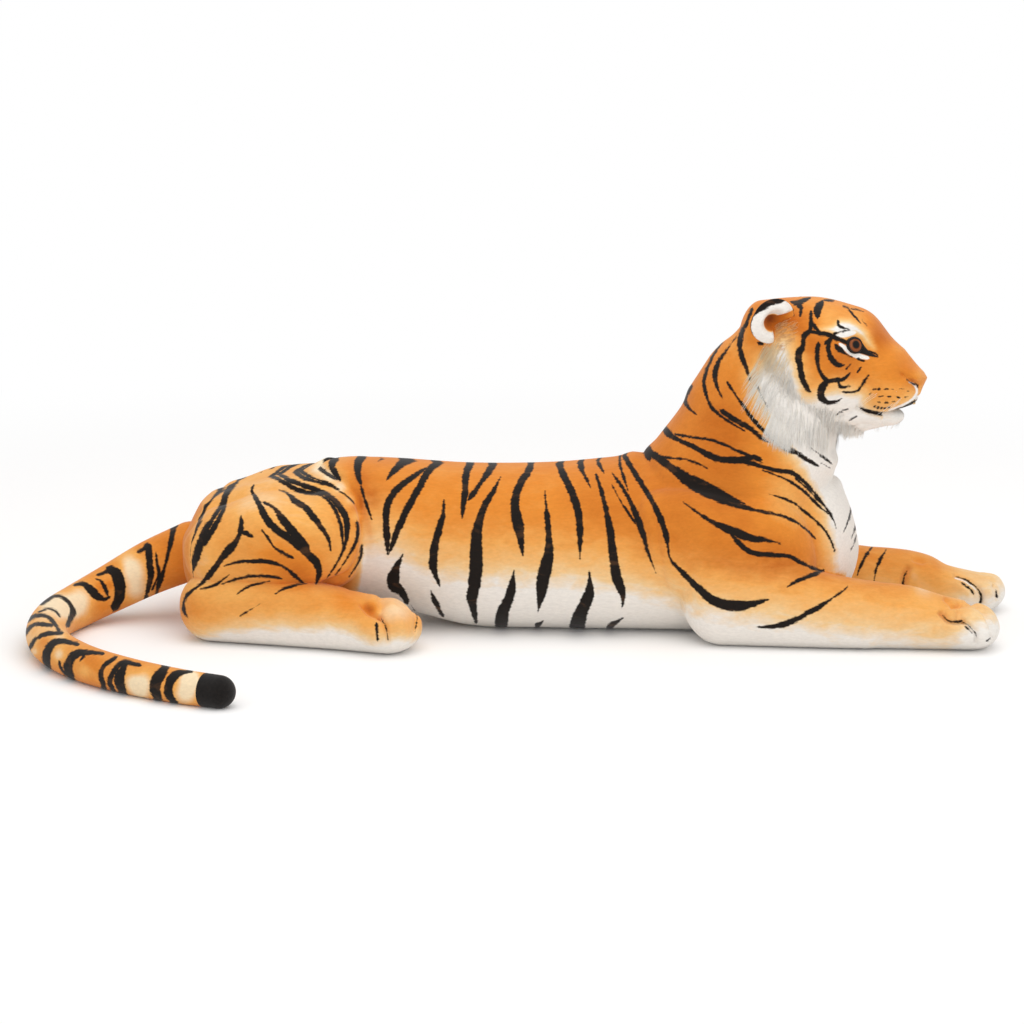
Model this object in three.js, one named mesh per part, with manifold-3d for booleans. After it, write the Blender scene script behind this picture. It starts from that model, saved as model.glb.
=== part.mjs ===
// A plush tiger lying down, with its head up: sewn plush covers over their stuffing, safety eyes with
// washers, felt lids, a nose patch, lined ears, cheek ruffs and a tail that curls round on the floor.
// Millimetres. X runs from the rump to the head, Z is up, and the belly rests on the floor at Z = 0.
import * as THREE from "three";
import { mergeVertices } from "three/addons/utils/BufferGeometryUtils.js";
import Module from "manifold-3d";

const wasm = await Module();
wasm.setup();

// Clearances and cloth
const GAP = 0.3;
const COVER = 6;
const FILL_GAP = 0.4;
const FLOOR_CUT = 0.5;
const SQUARENESS = 2.3;
const ROUND = 2;
const OVERRUN = 60;
const RUFF_PILE = 9;
const FELT = 2.4;

// Torso
const TORSO_LENGTH = 815;
const TORSO_WIDTH = 276;
const TORSO_HEIGHT = 250;
const RUMP_DOME = 50;
const CHEST_DOME = 105;
const RUMP_SHARE = 0.5215;

// Neck and head
const NECK_LENGTH = 100;
const NECK_WIDTH = 236;
const NECK_DEPTH = 240;
const NECK_DOME = 60;
const NECK_AT_SHARES = [0.902, 0, 0.986];
const NECK_TURN_DEG = 12;
const NOD_RADIUS = 118;
const HEAD_AT_SHARES = [1.15, 0, 0.6];
const HEAD_ROLL_DEG = 7;
const HEAD_LENGTH = 240;
const HEAD_WIDTH = 200;
const HEAD_HEIGHT = 170;
const SKULL_DOME = 30;
const MUZZLE_DOME = 27;
const CHIN_LENGTH = 25;
const CHIN_WIDTH = 64;
const CHIN_HEIGHT = 38;
const CHIN_DOME = 23;

// Legs
const HAUNCH_AT_SHARES = [0.117, 0.362, 0.562];
const HAUNCH_LENGTH = 133;
const HAUNCH_WIDTH = 152;
const HAUNCH_HEIGHT = 160;
const HAUNCH_DOME = 64;
const HEEL_AT_SHARES = [0.016, 0.427, 0];
const FOOT_LENGTH = 250;
const FOOT_WIDTH = 100;
const FOOT_HEIGHT = 102;
const FOOT_DOME = 36;
const HEEL_RADIUS = 50;
const SHOULDER_AT_SHARES = [0.89, 0.32, 0.562];
const SHOULDER_LENGTH = 130;
const SHOULDER_WIDTH = 132;
const SHOULDER_HEIGHT = 190;
const SHOULDER_DOME = 60;
const UPPER_LENGTH = 200;
const UPPER_WIDTH = 104;
const UPPER_HEIGHT = 160;
const UPPER_SIDE_SHARE = 0.38;
const UPPER_DOME = 60;
const WRIST_AT_SHARES = [1.135, 0.41, 0];
const FOREARM_LENGTH = 150;
const FOREARM_RADIUS = 47;
const PAW_DOME = 36;
const FAR_PAW_REACH = 30;

// Tail
const TAIL_RADIUS = 42;

// Eyes, nose and ears
const EYE_RADIUS = 12;
const EYE_DEPTH = 7;
const EYE_PROUD = 2;
const SHANK_RADIUS = 2.5;
const SHANK_LENGTH = 16;
const WASHER_RADIUS = 9;
const WASHER_THICKNESS = 2;
const EYE_PLACE = 3.65;
const EYE_ANGLE_DEG = 19;
const LID_LENGTH = 40;
const LID_HEIGHT = 27;
const NOSE_WIDTH = 44;
const NOSE_HEIGHT = 30;
const NOSE_RISE = 18;
const CHIN_ALONG_SHARE = 0.333;
const CHIN_DROP_SHARE = 0.435;
const RUFF_PLACE = 0.9;
const RUFF_ANGLE_DEG = -45;
const RUFF_LENGTH = 95;
const RUFF_HEIGHT = 95;
const EAR_RADIUS = 31;
const EAR_THICKNESS = 12;
const EAR_HINGE_LENGTH = 44;
const EAR_RISE = 22;
const EAR_PLACE = 0.79;
const EAR_ANGLE_DEG = 14;
const EAR_LEAN_DEG = 15;
const EAR_TURN_DEG = 50;
const LINING = 3;

// How far each joint turns, in degrees. The tail's tuck ends short of the hind foot.
const EAR_SWING = 15;
const FOREARM_LIFT = 18;
const TAIL_SWING = 20;
const TAIL_TUCK = 12;

// Facets
const SIDES = { large: 16, limb: 12, tail: 8, filling: 6, small: 8, saddle: 32 };
const STEPS = { large: 9, limb: 4, tail: 4, small: 2 };
const DOME_STEPS = 3;
const SOCKET_RINGS = 5;

const RUMP_X = -RUMP_SHARE * TORSO_LENGTH;
const EXTENT = 3 * TORSO_LENGTH;
const X = new THREE.Vector3(1, 0, 0);
const Y = new THREE.Vector3(0, 1, 0);
const Z = new THREE.Vector3(0, 0, 1);
const UP = Z.clone();
const DOWN = Z.clone().negate();
const SIDES_OF_BODY = { right: -1, left: 1 };
const radians = THREE.MathUtils.degToRad;

// A place on the body, as shares of the torso's length, width and height.
const bodyPoint = ([along, across, rise], side = 1) =>
  new THREE.Vector3(
    RUMP_X + along * TORSO_LENGTH,
    side * across * TORSO_WIDTH,
    rise * TORSO_HEIGHT - FLOOR_CUT,
  );

// Each form is a row of sections. A section gives its middle (along, side and rise), its pitch and yaw in
// degrees, its half width, and its reach up and down, all lengths as shares of the form's own three sizes.
const TORSO_SHARES = [
  [0, 0, 0.43, 0, 0, 0.319, 0.342, 0.342],
  [0.092, 0, 0.458, 0, 0, 0.391, 0.418, 0.418],
  [0.22, 0, 0.528, 0, 0, 0.391, 0.424, 0.424],
  [0.313, 0, 0.532, 0, 0, 0.384, 0.42, 0.42],
  [0.448, 0, 0.474, 0, 0, 0.406, 0.454, 0.466],
  [0.595, 0, 0.468, 0, 0, 0.435, 0.468, 0.468],
  [0.742, 0, 0.49, 0, 0, 0.442, 0.49, 0.49],
  [0.877, 0, 0.49, 0, 0, 0.428, 0.49, 0.49],
  [1, 0, 0.496, 0, 0, 0.377, 0.456, 0.456],
];
const NECK_SHARES = [
  [-0.1, 0, -0.254, 62, 0, 0.5, 0.52, 0.583],
  [0.35, 0, 0.067, 58, 0, 0.441, 0.475, 0.492],
  [0.72, 0, 0.371, 54, 0, 0.398, 0.442, 0.4],
  [0.92, 0, 0.579, 45, 0, 0.373, 0.392, 0.354],
];
const HEAD_SHARES = [
  [-0.304, 0, 0.141, 0, 0, 0.37, 0.341, 0.412],
  [-0.146, 0, 0.094, 0, 0, 0.47, 0.418, 0.471],
  [0.021, 0, 0.047, 0, 0, 0.5, 0.476, 0.529],
  [0.188, 0, 0.009, 0, 0, 0.43, 0.47, 0.494],
  [0.333, 0, -0.053, 0, 0, 0.3, 0.46, 0.388],
  [0.458, 0, -0.129, 0, 0, 0.26, 0.341, 0.294],
  [0.563, 0, -0.168, 0, 0, 0.22, 0.259, 0.2],
];
const CHIN_SHARES = [
  [0, 0, 0, 0, 0, 0.5, 0.47, 0.53],
  [1, 0, 0.03, 0, 0, 0.44, 0.42, 0.47],
];
const HAUNCH_SHARES = [
  [-0.49, -0.03, -0.09, 12, 0, 0.43, 0.4, 0.44],
  [0, 0, 0, 12, 0, 0.5, 0.44, 0.5],
  [0.51, -0.02, 0.04, 12, 0, 0.44, 0.38, 0.5],
];
const FOOT_SHARES = [
  [0, 0, 0.49, 0, 12, 0.5, 0.49, 0.49],
  [0.26, 0.14, 0.5, 0, 12, 0.48, 0.5, 0.5],
  [0.66, 0.36, 0.432, 0, 12, 0.44, 0.432, 0.432],
  [0.9, 0.5, 0.373, 0, 12, 0.46, 0.373, 0.373],
  [1, 0.55, 0.343, 0, 12, 0.49, 0.343, 0.343],
];
const SHOULDER_SHARES = [
  [-0.5, -0.08, 0, 30, 0, 0.46, 0.45, 0.55],
  [0, 0, 0, 30, 0, 0.5, 0.5, 0.56],
  [0.5, -0.03, 0, 25, 0, 0.46, 0.43, 0.47],
];
const UPPER_SHARES = [
  [0, 0, 0.5, 0, 0, 0.5, 0.5, 0.5],
  [0.35, 0.03, 0.394, 0, 0, 0.48, 0.394, 0.394],
  [0.7, 0.06, 0.328, 0, 0, 0.46, 0.328, 0.328],
  [1, 0.077, 0.294, 0, 0, 0.452, 0.294, 0.294],
];
// The forearm's shares are of its length and of its radius where it turns.
const FOREARM_SHARES = [
  [0, 0, 0, 0, 0, 1, 1, 1],
  [0.4, 0.02, -0.06, 0, 0, 0.93, 0.94, 0.94],
  [0.7, 0, -0.2, 0, 0, 0.96, 0.8, 0.8],
  [1, -0.04, -0.33, 0, 0, 1.01, 0.68, 0.67],
];
// The tail's sections: along and side as shares of the torso's length and width, the height of its underside as
// a share of the torso's height, its pitch and yaw in degrees, and its radius as a share of the tail's.
const TAIL_SHARES = [
  [-0.045, 0, 0.24, -22, 180, 1],
  [-0.119, -0.015, 0.152, -23, 184, 0.92],
  [-0.188, -0.076, 0.058, -19, 203, 0.82],
  [-0.24, -0.22, 0, -6, 236, 0.75],
  [-0.262, -0.47, 0, 0, 262, 0.7],
  [-0.257, -0.76, 0, 0, 280, 0.67],
  [-0.222, -1.033, 0, 0, 304, 0.64],
  [-0.155, -1.29, 0, 0, 318, 0.6],
  [-0.07, -1.495, 0, 0, 326, 0.57],
  [0.02, -1.645, 0, 0, 334, 0.54],
  [0.085, -1.72, 0, 0, 339, 0.52],
];
// The tail is sewn from three lengths: the sections that each runs between.
const TAIL_LENGTHS = { base: [0, 3], middle: [3, 6], end: [6, 10] };
const TAIL_TIP_SHARE = 0.9;

// Catmull-Rom through a table's rows, at a place between 0 and the last row.
function sectionAt(rows, place) {
  const last = rows.length - 1;
  const i = Math.min(Math.floor(place), last - 1);
  const t = place - i;
  const [b, c] = [rows[i], rows[i + 1]];
  const a = rows[i - 1] ?? b.map((value, k) => 2 * value - c[k]);
  const d = rows[i + 2] ?? c.map((value, k) => 2 * value - b[k]);
  return b.map((value, k) => {
    const slope = c[k] - a[k];
    const bend = 2 * a[k] - 5 * value + 4 * c[k] - d[k];
    const twist = 3 * value - a[k] - 3 * c[k] + d[k];
    return value + 0.5 * (slope * t + bend * t * t + twist * t * t * t);
  });
}

// A form: where it starts, its three sizes, its table, its dome lengths and how square its sections are.
function form(at, size, shares, domes, { side = 1, square = SQUARENESS, sides, steps }) {
  const rows = shares.map(([along, across, rise, pitch, yaw, wide, up, down]) => [
    at.x + along * size.length,
    at.y + side * across * size.width,
    at.z + rise * size.height,
    radians(pitch),
    side * radians(yaw),
    wide * size.width,
    up * size.height,
    down * size.height,
  ]);
  return { rows, domes, square, sides, steps };
}

// The frame of a form's section: its middle, the way ahead, up and across.
function frameAt([x, y, z, pitch, yaw]) {
  const flat = Math.cos(pitch);
  const ahead = new THREE.Vector3(flat * Math.cos(yaw), flat * Math.sin(yaw), Math.sin(pitch));
  const sink = -Math.sin(pitch);
  const up = new THREE.Vector3(sink * Math.cos(yaw), sink * Math.sin(yaw), flat);
  return { middle: new THREE.Vector3(x, y, z), ahead, up, across: up.clone().cross(ahead) };
}

// A point of a section's rounded outline at an angle from across towards up, shrunk by a dome and an inset.
function outlinePoint(row, angle, square, { grow = 1, out = 0, inset = 0 } = {}) {
  const { middle, ahead, up, across } = frameAt(row);
  const power = (value) => Math.sign(value) * Math.abs(value) ** (2 / square);
  const [a, b] = [power(Math.cos(angle)), power(Math.sin(angle))];
  const high = (b > 0 ? row[6] : row[7]) - inset;
  return middle
    .addScaledVector(ahead, out)
    .addScaledVector(across, (row[5] - inset) * a * grow)
    .addScaledVector(up, high * b * grow);
}

// A form's closed mesh: rings of points along it, with a dome at each end that closes in a point.
function loftGeometry({ rows, domes, square, sides, steps }, inset = 0) {
  const last = rows.length - 1;
  const rings = [];
  const dome = (place, length, turn) => ({
    place,
    out: length * Math.sin(turn),
    grow: Math.cos(turn),
  });
  for (let i = DOME_STEPS - 1; i > 0; i--)
    rings.push(dome(0, inset - domes[0], (i / DOME_STEPS) * Math.PI * 0.5));
  for (let i = 0; i <= steps; i++) rings.push({ place: (i / steps) * last, out: 0, grow: 1 });
  for (let i = 1; i < DOME_STEPS; i++)
    rings.push(dome(last, domes[1] - inset, (i / DOME_STEPS) * Math.PI * 0.5));
  const points = [];
  for (const { place, out, grow } of rings) {
    const row = sectionAt(rows, place);
    for (let j = 0; j < sides; j++)
      points.push(outlinePoint(row, (j / sides) * 2 * Math.PI, square, { grow, out, inset }));
  }
  const [first, end] = [frameAt(rows[0]), frameAt(rows[last])];
  points.push(first.middle.addScaledVector(first.ahead, inset - domes[0]));
  points.push(end.middle.addScaledVector(end.ahead, domes[1] - inset));
  const faces = [];
  for (let i = 0; i < rings.length - 1; i++)
    for (let j = 0; j < sides; j++) {
      const [p, q] = [i * sides + j, i * sides + ((j + 1) % sides)];
      faces.push(p, q, q + sides, p, q + sides, p + sides);
    }
  const [low, high] = [points.length - 2, points.length - 1];
  const top = (rings.length - 1) * sides;
  for (let j = 0; j < sides; j++) {
    const k = (j + 1) % sides;
    faces.push(low, k, j, high, top + j, top + k);
  }
  return new THREE.BufferGeometry().setFromPoints(points).setIndex(faces);
}

// A closed geometry as a solid that can be joined and cut, and back.
function solid(geometry, matrix = new THREE.Matrix4()) {
  const bare = geometry.clone().applyMatrix4(matrix);
  bare.deleteAttribute("normal");
  bare.deleteAttribute("uv");
  const merged = mergeVertices(bare, GAP / 1000);
  const mesh = new wasm.Mesh({
    numProp: 3,
    vertProperties: new Float32Array(merged.attributes.position.array),
    triVerts: new Uint32Array(merged.index.array),
  });
  return new wasm.Manifold(mesh);
}

function geometryOf(body) {
  const { numProp, vertProperties, triVerts } = body.getMesh();
  const points = [];
  for (let i = 0; i < vertProperties.length; i += numProp)
    points.push(new THREE.Vector3().fromArray(vertProperties, i));
  const geometry = new THREE.BufferGeometry().setFromPoints(points).setIndex([...triVerts]);
  geometry.computeVertexNormals();
  return geometry;
}

const loft = (shape, inset = 0) => solid(loftGeometry(shape, inset));
// The space inside a form's cover, and the stuffing that fills it
const hollow = (shape) => loft({ ...shape, sides: SIDES.filling }, COVER);
const stuffing = (shape) => loft({ ...shape, sides: SIDES.filling }, COVER + FILL_GAP);
const moved = (body, matrix) => body.transform(matrix.elements);
const joined = (bodies) => wasm.Manifold.union(bodies);
const largest = (body) => body.decompose().reduce((a, b) => (b.volume() > a.volume() ? b : a));

// The matrix that stands the Z axis along a direction at a point.
function standing(point, direction) {
  const turn = new THREE.Quaternion().setFromUnitVectors(Z, direction.clone().normalize());
  return new THREE.Matrix4().compose(point, turn, new THREE.Vector3(1, 1, 1));
}

// Everything past a plane, through a point and facing a direction.
function beyond(point, direction) {
  const block = new THREE.BoxGeometry(EXTENT, EXTENT, EXTENT).translate(0, 0, EXTENT / 2);
  return solid(block, standing(point, direction));
}

// A rod from one distance to another along a direction from a point.
function rod(point, direction, radius, from, to, sides = SIDES.small) {
  const shape = new THREE.CylinderGeometry(radius, radius, to - from, sides).rotateX(Math.PI / 2);
  return solid(shape.translate(0, 0, (from + to) / 2), standing(point, direction));
}

const floor = beyond(new THREE.Vector3(), DOWN);

// Cloth, stuffing, felt and plastic
const cloth = (color) => new THREE.MeshStandardMaterial({ color, roughness: 0.95, metalness: 0 });
const ORANGE = cloth("#d98b40");
const WHITE = cloth("#ece6dc");
const BLACK = cloth("#241f1c");
const TAN = cloth("#c98a55");
const FIBRE = cloth("#f4f2ee");
const EYE_GLASS = new THREE.MeshStandardMaterial({ color: "#6b4a1e", roughness: 0.08, metalness: 0 });
const NYLON = new THREE.MeshStandardMaterial({ color: "#e6e4de", roughness: 0.5, metalness: 0 });

// A group that stands at a place, turned so that its X and Z axes lie along two directions.
function groupAt(parent, place, ahead = X, up = Z) {
  const group = new THREE.Group();
  const side = up.clone().cross(ahead).normalize();
  const frame = new THREE.Matrix4().makeBasis(ahead.clone().normalize(), side, up.clone().normalize());
  group.quaternion.setFromRotationMatrix(frame);
  group.position.copy(place);
  parent.add(group);
  group.updateWorldMatrix(true, false);
  return group;
}

// The named mesh of a solid. A cut can leave a crumb beside the piece, and only the piece is kept.
function add(group, name, body, material) {
  const mesh = new THREE.Mesh(geometryOf(largest(body)), material);
  mesh.name = name;
  group.add(mesh);
}

const tiger = new THREE.Group();
const ORIGIN = new THREE.Vector3();

// The forms
const LARGE = { sides: SIDES.large, steps: STEPS.large };
const LIMB = { sides: SIDES.limb, steps: STEPS.limb };
const torsoForm = form(
  bodyPoint([0, 0, 0]),
  { length: TORSO_LENGTH, width: TORSO_WIDTH, height: TORSO_HEIGHT },
  TORSO_SHARES,
  [RUMP_DOME, CHEST_DOME],
  LARGE,
);
const neckForm = form(
  ORIGIN,
  { length: NECK_LENGTH, width: NECK_WIDTH, height: NECK_DEPTH },
  NECK_SHARES,
  [NECK_DOME, NECK_DOME],
  LIMB,
);
const headForm = form(
  ORIGIN,
  { length: HEAD_LENGTH, width: HEAD_WIDTH, height: HEAD_HEIGHT },
  HEAD_SHARES,
  [SKULL_DOME, MUZZLE_DOME],
  LARGE,
);

// The neck turns on a level plane, and the head nods in a round saddle on the neck.
const turned = X.clone().applyAxisAngle(Z, -radians(NECK_TURN_DEG));
const neck = groupAt(tiger, bodyPoint(NECK_AT_SHARES), turned);
const [headAlong, headAcross, headRise] = HEAD_AT_SHARES;
const headPlace = new THREE.Vector3(headAlong * NECK_LENGTH, headAcross * NECK_WIDTH, headRise * NECK_DEPTH);
const head = groupAt(neck, headPlace, X, Z.clone().applyAxisAngle(X, -radians(HEAD_ROLL_DEG)));
const neckToBody = neck.matrixWorld;
const neckToHead = head.matrix.clone().invert();
const seam = GAP / 2;

// A concave round face that clears a convex one of the same number of sides by the gap, whatever its turn.
const clear = (radius, sides) => (radius + GAP) / Math.cos(Math.PI / sides);

// The socket of a ball: each facet's middle lies the gap or more outside the ball.
function socket(point, radius) {
  const round = clear(radius, SIDES.limb) / Math.cos(Math.PI / (2 * SOCKET_RINGS));
  const shape = new THREE.SphereGeometry(round, SIDES.limb, SOCKET_RINGS).rotateY(Math.PI / SIDES.limb);
  return solid(shape.translate(point.x, point.y, point.z));
}

const nodRod = (radius) => rod(ORIGIN, Y, radius, -HEAD_WIDTH, HEAD_WIDTH, SIDES.saddle);

// A solid together with copies of it turned about an axis through a point.
function sweep(body, point, axis, from, to) {
  const copies = [];
  for (const angleDeg of [from, (from + to) / 2, to]) {
    const angle = radians(angleDeg);
    const turn = new THREE.Matrix4().makeRotationAxis(axis, angle);
    const shift = new THREE.Matrix4().makeTranslation(point);
    const back = new THREE.Matrix4().makeTranslation(point.clone().negate());
    copies.push(moved(body, shift.multiply(turn).multiply(back)));
  }
  return joined(copies);
}

// The legs' forms and where they turn
const legs = Object.entries(SIDES_OF_BODY).map(([name, side]) => {
  const heel = bodyPoint(HEEL_AT_SHARES, side);
  const wrist = bodyPoint(WRIST_AT_SHARES, side);
  wrist.z = FOREARM_RADIUS - FLOOR_CUT;
  const reach = side > 0 ? FAR_PAW_REACH : 0;
  const at = { side, ...LIMB };
  return {
    name,
    side,
    heel,
    wrist,
    haunch: form(
      bodyPoint(HAUNCH_AT_SHARES, side),
      { length: HAUNCH_LENGTH, width: HAUNCH_WIDTH, height: HAUNCH_HEIGHT },
      HAUNCH_SHARES,
      [HAUNCH_DOME, HAUNCH_DOME],
      at,
    ),
    foot: form(
      heel,
      { length: FOOT_LENGTH, width: FOOT_WIDTH, height: FOOT_HEIGHT },
      FOOT_SHARES,
      [HEEL_RADIUS, FOOT_DOME],
      at,
    ),
    shoulder: form(
      bodyPoint(SHOULDER_AT_SHARES, side),
      { length: SHOULDER_LENGTH, width: SHOULDER_WIDTH, height: SHOULDER_HEIGHT },
      SHOULDER_SHARES,
      [SHOULDER_DOME, SHOULDER_DOME],
      at,
    ),
    upper: form(
      new THREE.Vector3(wrist.x - UPPER_LENGTH, side * UPPER_SIDE_SHARE * TORSO_WIDTH, -FLOOR_CUT),
      { length: UPPER_LENGTH, width: UPPER_WIDTH, height: UPPER_HEIGHT },
      UPPER_SHARES,
      [UPPER_DOME, UPPER_DOME],
      at,
    ),
    forearm: form(
      wrist,
      { length: FOREARM_LENGTH + reach, width: FOREARM_RADIUS, height: FOREARM_RADIUS },
      FOREARM_SHARES,
      [FOREARM_RADIUS, PAW_DOME],
      { ...at, square: ROUND },
    ),
  };
});
const footTop = FOOT_HEIGHT - FLOOR_CUT;

// The tail's forms: each length starts with a ball that sits in the end of what is before it
const tailRows = TAIL_SHARES.map(([along, across, lift, pitch, yaw, share]) => {
  const radius = share * TAIL_RADIUS;
  const { x, y, z } = bodyPoint([along, across, lift]);
  return [x, y, z + radius, radians(pitch), radians(yaw), radius, radius, radius];
});
const TAIL = { square: ROUND, sides: SIDES.tail, steps: STEPS.tail };
const tails = Object.entries(TAIL_LENGTHS).map(([name, [first, last]]) => {
  const rows = tailRows.slice(first, last + 1);
  const { middle, ahead } = frameAt(rows[0]);
  const level = ahead.clone().setZ(0).normalize();
  return { name, rows, pivot: middle, level, radius: rows[0][5], domes: [rows[0][5], rows.at(-1)[5]], ...TAIL };
});
const [tailBase, tailMiddle, tailEnd] = tails;

// What the torso leaves free for the legs and the tail to turn in, grown by an extra width
function pockets(extra) {
  const grown = -GAP - extra;
  const spaces = [
    socket(tailBase.pivot, tailBase.radius + extra),
    sweep(loft(tailBase, grown), tailBase.pivot, Z, -TAIL_SWING, TAIL_TUCK),
  ];
  for (const { heel, wrist, foot, forearm } of legs) {
    spaces.push(rod(heel, UP, clear(HEEL_RADIUS + extra, SIDES.limb), -OVERRUN, footTop - grown, SIDES.limb));
    spaces.push(loft(foot, grown));
    spaces.push(socket(wrist, FOREARM_RADIUS + extra));
    spaces.push(sweep(loft(forearm, grown), wrist, Y, -FOREARM_LIFT, 0));
  }
  return joined(spaces);
}

// Torso, with the part of the neck below the level plane
const neckPlane = neck.position.clone();
const aboveNeck = beyond(neckPlane.clone().addScaledVector(DOWN, seam), UP);
const torsoBody = (part) => joined([part(torsoForm), moved(part(neckForm), neckToBody)]).subtract(aboveNeck);
const grownTorso = joined([loft(torsoForm, -GAP), moved(loft(neckForm, -GAP), neckToBody)]);
const torsoInside = (part, extra) => joined([part(torsoForm), moved(part(neckForm), neckToBody)]).subtract(pockets(extra));
const torsoOutside = torsoBody(loft).subtract(floor).subtract(pockets(0));
add(tiger, "torso_cover", torsoOutside.subtract(torsoInside(hollow, COVER)), ORANGE);
add(tiger, "torso_filling", torsoInside(stuffing, COVER + FILL_GAP).subtract(aboveNeck), FIBRE);

// Neck and head
const saddle = nodRod(clear(NOD_RADIUS, SIDES.saddle));
const neckCuts = joined([moved(saddle, head.matrix), beyond(ORIGIN.clone().addScaledVector(UP, seam), DOWN)]);
add(neck, "neck_cover", loft(neckForm).subtract(hollow(neckForm)).subtract(neckCuts), ORANGE);
add(neck, "neck_filling", stuffing(neckForm).subtract(neckCuts), FIBRE);

// A point on a form's surface and the way out there, at a place along it and an angle from across towards up.
function seat(shape, place, angleDeg) {
  const on = (a, b) => outlinePoint(sectionAt(shape.rows, a), b, shape.square);
  const angle = radians(angleDeg);
  const step = 0.01;
  const along = on(place + step, angle).sub(on(place - step, angle));
  const around = on(place, angle + step).sub(on(place, angle - step));
  return { point: on(place, angle), out: around.cross(along).normalize(), along: along.normalize() };
}

// A patch of cloth or felt that hugs a form: the shell between two depths outside it, kept inside a block.
const shell = (shape, from, to) => loft(shape, -to).subtract(loft(shape, -from));

// The same part of the head and of the neck as one body, in the head's frame
const headAndNeck = (part) => part(headForm).add(moved(part(neckForm), neckToHead));
const throat = moved(loft(neckForm), neckToHead).intersect(nodRod(NOD_RADIUS));
const headHoles = [];
const washerRooms = [];
const washerWells = [];
const earPads = [];
const earWells = [];
for (const [name, side] of Object.entries(SIDES_OF_BODY)) {
  const mirror = (angle) => (side > 0 ? angle : 180 - angle);

  // Eye: a flattened ball on a shank that a washer holds from inside the cover
  const eyeSeat = seat(headForm, EYE_PLACE, mirror(EYE_ANGLE_DEG));
  const eyePlace = eyeSeat.point.clone().addScaledVector(eyeSeat.out, EYE_PROUD);
  const eye = groupAt(head, eyePlace, eyeSeat.along, eyeSeat.out);
  const globe = (grown) =>
    solid(
      new THREE.SphereGeometry(1, SIDES.small, SIDES.small / 2)
        .rotateX(Math.PI / 2)
        .scale(EYE_RADIUS + grown, EYE_RADIUS + grown, EYE_DEPTH + grown),
    );
  const shank = (grown) => rod(ORIGIN, DOWN, SHANK_RADIUS + grown, 0, SHANK_LENGTH + grown);
  const washerTop = EYE_PROUD + COVER + GAP;
  const washer = rod(ORIGIN, DOWN, WASHER_RADIUS, washerTop, washerTop + WASHER_THICKNESS);
  const room = (grown) => rod(ORIGIN, DOWN, WASHER_RADIUS + grown, washerTop - GAP, SHANK_LENGTH + 2 * grown);
  const eyeHole = moved(globe(GAP).add(shank(GAP)), eye.matrix);
  add(eye, `${name}_eye`, globe(0).add(shank(0)), EYE_GLASS);
  add(eye, `${name}_eye_washer`, washer.subtract(shank(GAP)), NYLON);
  headHoles.push(eyeHole);
  washerRooms.push(moved(room(GAP), eye.matrix));
  washerWells.push(moved(room(GAP + FILL_GAP), eye.matrix));

  // Felt lid round the eye
  const almond = new THREE.CylinderGeometry(1, 1, LID_HEIGHT, SIDES.small).rotateX(Math.PI / 2);
  almond.scale(LID_LENGTH / 2, LID_HEIGHT / 2, 1);
  const lid = shell(headForm, GAP, GAP + FELT).intersect(solid(almond, eye.matrix));
  add(head, `${name}_eyelid`, lid.subtract(eyeHole), BLACK);

  // Ear: a flap on a round hinge edge, with its lining on the front
  const earSeat = seat(headForm, EAR_PLACE, mirror(EAR_ANGLE_DEG));
  const earUp = Z.clone().applyAxisAngle(X, -side * radians(EAR_LEAN_DEG));
  const front = X.clone().applyAxisAngle(earUp, side * radians(EAR_TURN_DEG));
  const ear = groupAt(head, earSeat.point, front, earUp);
  const flap = (depth, radius) =>
    solid(
      new THREE.SphereGeometry(1, SIDES.small, SIDES.small / 2)
        .scale(depth, radius, radius)
        .translate(0, 0, EAR_RISE),
    );
  const behind = beyond(ORIGIN, X.clone().negate());
  const earHalf = EAR_THICKNESS / 2;
  const hinge = (radius, grown) =>
    rod(ORIGIN, Y, radius, -EAR_HINGE_LENGTH / 2 - grown, EAR_HINGE_LENGTH / 2 + grown);
  add(ear, `${name}_ear`, flap(earHalf, EAR_RADIUS).subtract(beyond(ORIGIN, DOWN)).add(hinge(earHalf, 0)), ORANGE);
  const liningCuts = joined([
    flap(earHalf + GAP, EAR_RADIUS + GAP),
    behind,
    beyond(ORIGIN.clone().addScaledVector(UP, EAR_THICKNESS), DOWN),
  ]);
  add(ear, `${name}_ear_lining`, flap(earHalf + LINING, EAR_RADIUS - LINING).subtract(liningCuts), WHITE);
  const groove = clear(earHalf, SIDES.small);
  const lined = flap(earHalf + LINING + GAP, EAR_RADIUS + GAP).subtract(behind);
  const grownFlap = flap(earHalf + GAP, EAR_RADIUS + GAP).add(lined);
  const sweptFlap = sweep(grownFlap, ORIGIN, Y, -EAR_SWING, EAR_SWING).hull();
  headHoles.push(moved(hinge(groove, GAP).add(sweptFlap.subtract(beyond(ORIGIN, DOWN))), ear.matrix));
  earPads.push(moved(hinge(groove + COVER, COVER), ear.matrix));
  earWells.push(moved(hinge(groove + COVER + FILL_GAP, COVER + FILL_GAP), ear.matrix));

  // Cheek ruff of long white pile, low on the side of the head behind the cheek
  const ruffSeat = seat(headForm, RUFF_PLACE, mirror(RUFF_ANGLE_DEG));
  const disc = new THREE.CylinderGeometry(1, 1, RUFF_LENGTH, SIDES.small).rotateX(Math.PI / 2);
  disc.scale(RUFF_LENGTH / 2, RUFF_HEIGHT / 2, 1);
  const ruff = headAndNeck((shape) => loft(shape, -GAP - RUFF_PILE))
    .subtract(headAndNeck((shape) => loft(shape, -GAP)))
    .intersect(solid(disc, standing(ruffSeat.point, ruffSeat.out)))
    .intersect(nodRod(NOD_RADIUS));
  add(head, `${name}_cheek_ruff`, ruff, WHITE);
}

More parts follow.
